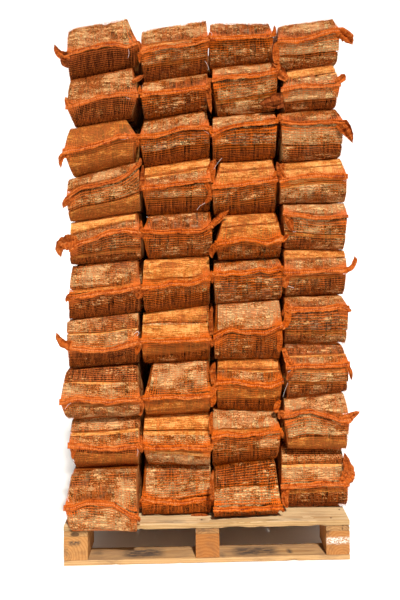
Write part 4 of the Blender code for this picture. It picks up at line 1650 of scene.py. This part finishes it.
def makeTimberPiece(node, kind, material, seed, marks):
    low, high = (np.array(c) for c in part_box(node))
    rng = random(900, seed)
    length = timberShape["grain"][kind]
    width = 1 - length
    size, centre = high - low, (low + high) / 2
    ring = timberRing(size[width], size[2])
    steps = max(4, round(size[length] / timberShape["alongStep"]))
    along = np.linspace(low[length], high[length], steps + 1)
    rows = np.zeros((steps + 1, len(ring), 3))
    rows[..., length] = along[:, None]
    rows[..., width] = centre[width] + ring[:, 0]
    rows[..., 2] = centre[2] + ring[:, 1]
    # sawn faces waver a little, always inwards, and the corners are chipped
    inward = np.zeros(rows.shape)
    for side, axis in enumerate((width, 2)):
        onFace = abs(ring[:, side]) > size[axis] / 2 - timberShape["faceDeep"]
        inward[..., axis] = -np.sign(ring[:, side]) * onFace
    waver = (valueNoise(rows / timberShape["waverLong"] + seed, seed) + 1) / 2 * timberShape["waver"]
    atCorner = (abs(inward[..., width]) > 0) & (abs(inward[..., 2]) > 0)
    rare = timberShape["chipRare"]
    chips = np.clip(valueNoise(rows / timberShape["chipLong"] + seed * 3, seed + 50) - rare, 0, 1)
    chips = chips / (1 - rare) * timberShape["chipDeep"]
    rows = rows + inward * (waver + np.where(atCorner, chips, 0))[..., None]
    points = [rows.reshape(-1, 3)]
    count, rings = len(ring), len(timberShape["endRings"])
    faces = gridFaces(steps + 1, count)
    first = (steps + 1) * count
    for row in (0, steps):
        for share in timberShape["endRings"]:
            inner = rows[row] + (rows[row].mean(axis=0) - rows[row]) * (1 - share)
            inner[:, length] = rows[row][:, length]
            points.append(inner)
        points.append(inner.mean(axis=0, keepdims=True))
        faces += capFaces(row * count, first, count, rings, row > 0)
        first += rings * count + 1
    points = np.vstack(points)
    if length == 1:
        faces = [f[::-1] for f in faces]
    piece = newObject(f"timber_{node}", points, faces, (material,))
    offset = rng.uniform(-timberShape["heartStray"], timberShape["heartStray"], 3)
    heart = points - centre - offset + (0, 0, timberShape["heartBelow"][kind])
    heart[:, length] = 0
    wear = np.zeros((len(points), 3))
    for what, middle, reach, strength in marks:
        away = np.linalg.norm((points - middle) / reach, axis=1, ord=2 if what == "knot" else 5)
        column = ("mark", "scuff", "knot").index(what)
        wear[:, column] = np.maximum(wear[:, column], strength * (1 - smooth((away - 0.6) / 0.6)))
    addAttribute(piece, "boardSeed", "FLOAT", np.full(len(points), rng.uniform(0, 9)))
    addAttribute(piece, "heart", "FLOAT_VECTOR", heart)
    addAttribute(piece, "wear", "FLOAT_VECTOR", wear)
    addAttribute(piece, "boardTone", "FLOAT", np.full(len(points), timberTones.get(node, rng.uniform(0.0, 0.5))))
    finishObject(piece, [node], 35)


nailShape = {"radius": 0.0042, "dome": 0.0011, "sides": 10, "fromEdge": 0.028, "fromSide": 0.024, "stray": 0.006}


def nailHead(centre, rng):
    # a low dome, let a little into the board
    radius = nailShape["radius"] * rng.uniform(0.9, 1.1)
    turns = np.arange(nailShape["sides"]) / nailShape["sides"] * 2 * math.pi
    circle = np.stack([np.cos(turns), np.sin(turns), 0 * turns], axis=-1)
    rings = [circle * radius * scale + (0, 0, lift) for scale, lift in
             ((1.0, -0.0008), (1.0, 0.0003), (0.72, nailShape["dome"] * 0.85), (0.2, nailShape["dome"]))]
    return tubeShell(np.array(rings) + np.array(centre))


def makeNails():
    # two nails where each deck board crosses a stringer
    rng = random(901)
    stray = nailShape["stray"]
    stringers = sorted(n for n in frame["nodes"] if n.startswith("stringer"))
    for node in sorted(n for n in frame["nodes"] if n.startswith("deck")):
        low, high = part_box(node)
        heads = []
        for stringer in stringers:
            left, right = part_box(stringer)[0][0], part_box(stringer)[1][0]
            for x, y in ((left + nailShape["fromSide"], low[1] + nailShape["fromEdge"]),
                         (right - nailShape["fromSide"], high[1] - nailShape["fromEdge"])):
                heads.append(nailHead((x + rng.uniform(-stray, stray), y + rng.uniform(-stray, stray), high[2]), rng))
        points, faces = joined(heads)
        finishObject(newObject(f"nails_{node}", points, faces, (nailMaterial,)), [], 40)


def makePallet():
    materials = {kind: makeTimber(kind) for kind in timberShape["grain"]}
    marks = readMarks()
    for seed, node in enumerate(sorted(frame["nodes"])):
        kind = node.split("_")[0]
        if kind in materials:
            makeTimberPiece(node, kind, materials[kind], seed, marks)
    makeNails()
    print("pallet made")


makePallet()


# Floor, light and camera

studio = {
    "white": (0.93, 0.925, 0.92),
    "paler": (0.95, 0.945, 0.94),
    "sweep": {"near": -7.0, "bend": 4.5, "radius": 2.5, "high": 9.0, "half": 12.0, "steps": 12},
    "sunDirection": (0.14, -0.58, 0.80),    # towards the light
    "sunStrength": 4.85,
    "sunAngle": 4.0,
    "sunColour": (1.0, 0.96, 0.90),
    "sky": (0.96, 0.98, 1.0),
    "skyStrength": 0.165,
    "fillDirection": (-0.35, 0.72, 0.60),    # a weaker light from behind
    "fillStrength": 1.6,
    "fillAngle": 12.0,
}


def makeSweep():
    # a floor that curves up into a white wall behind the load
    sweep = studio["sweep"]
    line = [(sweep["near"], 0.0), (0.0, 0.0), (sweep["bend"], 0.0)]
    for step in range(1, sweep["steps"] + 1):
        angle = math.radians(90 * step / sweep["steps"])
        line.append((sweep["bend"] + sweep["radius"] * math.sin(angle), sweep["radius"] * (1 - math.cos(angle))))
    line.append((sweep["bend"] + sweep["radius"], sweep["high"]))
    points = [(side * sweep["half"], y, z - 0.0005) for y, z in line for side in (-1, 1)]
    faces = [(2 * k, 2 * k + 1, 2 * k + 3, 2 * k + 2) for k in range(len(line) - 1)]
    material, tree, shader = newMaterial("studio_floor", 0.9, 0.1)
    grain = noisy(tree, placeOn(tree), 3.0, 2.0)
    plug(tree, shader.inputs["Base Color"], mixed(tree, grain, studio["white"], studio["paler"]))
    floor = newObject("studio_floor", points, faces, (material,))
    floor.data.shade_smooth()


def makeSun(name, direction, strength, angle):
    sun = bpy.data.objects.new(name, bpy.data.lights.new(name, "SUN"))
    sun.data.energy = strength
    sun.data.angle = math.radians(angle)
    sun.data.color = studio["sunColour"]
    sun.rotation_euler = Vector(direction).to_track_quat("Z", "Y").to_euler()
    bpy.context.scene.collection.objects.link(sun)


def makeLight():
    makeSun("key_light", studio["sunDirection"], studio["sunStrength"], studio["sunAngle"])
    makeSun("fill_light", studio["fillDirection"], studio["fillStrength"], studio["fillAngle"])
    world = bpy.data.worlds.new("studio_sky")
    world.use_nodes = True
    background = world.node_tree.nodes["Background"]
    background.inputs["Color"].default_value = (*studio["sky"], 1.0)
    background.inputs["Strength"].default_value = studio["skyStrength"]
    bpy.context.scene.world = world
    bpy.context.scene.view_settings.view_transform = "Standard"


def makeCamera():
    camera = bpy.data.objects.new("photo_camera", bpy.data.cameras.new("photo_camera"))
    camera.data.lens = photoCamera["lens"]
    camera.data.sensor_width = photoCamera["sensor"]
    camera.data.shift_x, camera.data.shift_y = photoCamera["shift"]
    camera.data.clip_end = photoCamera["farthest"]
    camera.location = photoCamera["place"]
    camera.rotation_euler = cameraTurn()
    bpy.context.scene.collection.objects.link(camera)
    bpy.context.scene.camera = camera


makeSweep()
makeLight()
makeCamera()
print("studio set")

triangles = sum(len(p.vertices) - 2 for o in bpy.context.scene.objects if o.type == "MESH" and not o.hide_render
                for p in o.data.polygons)
print("triangles in view", triangles)
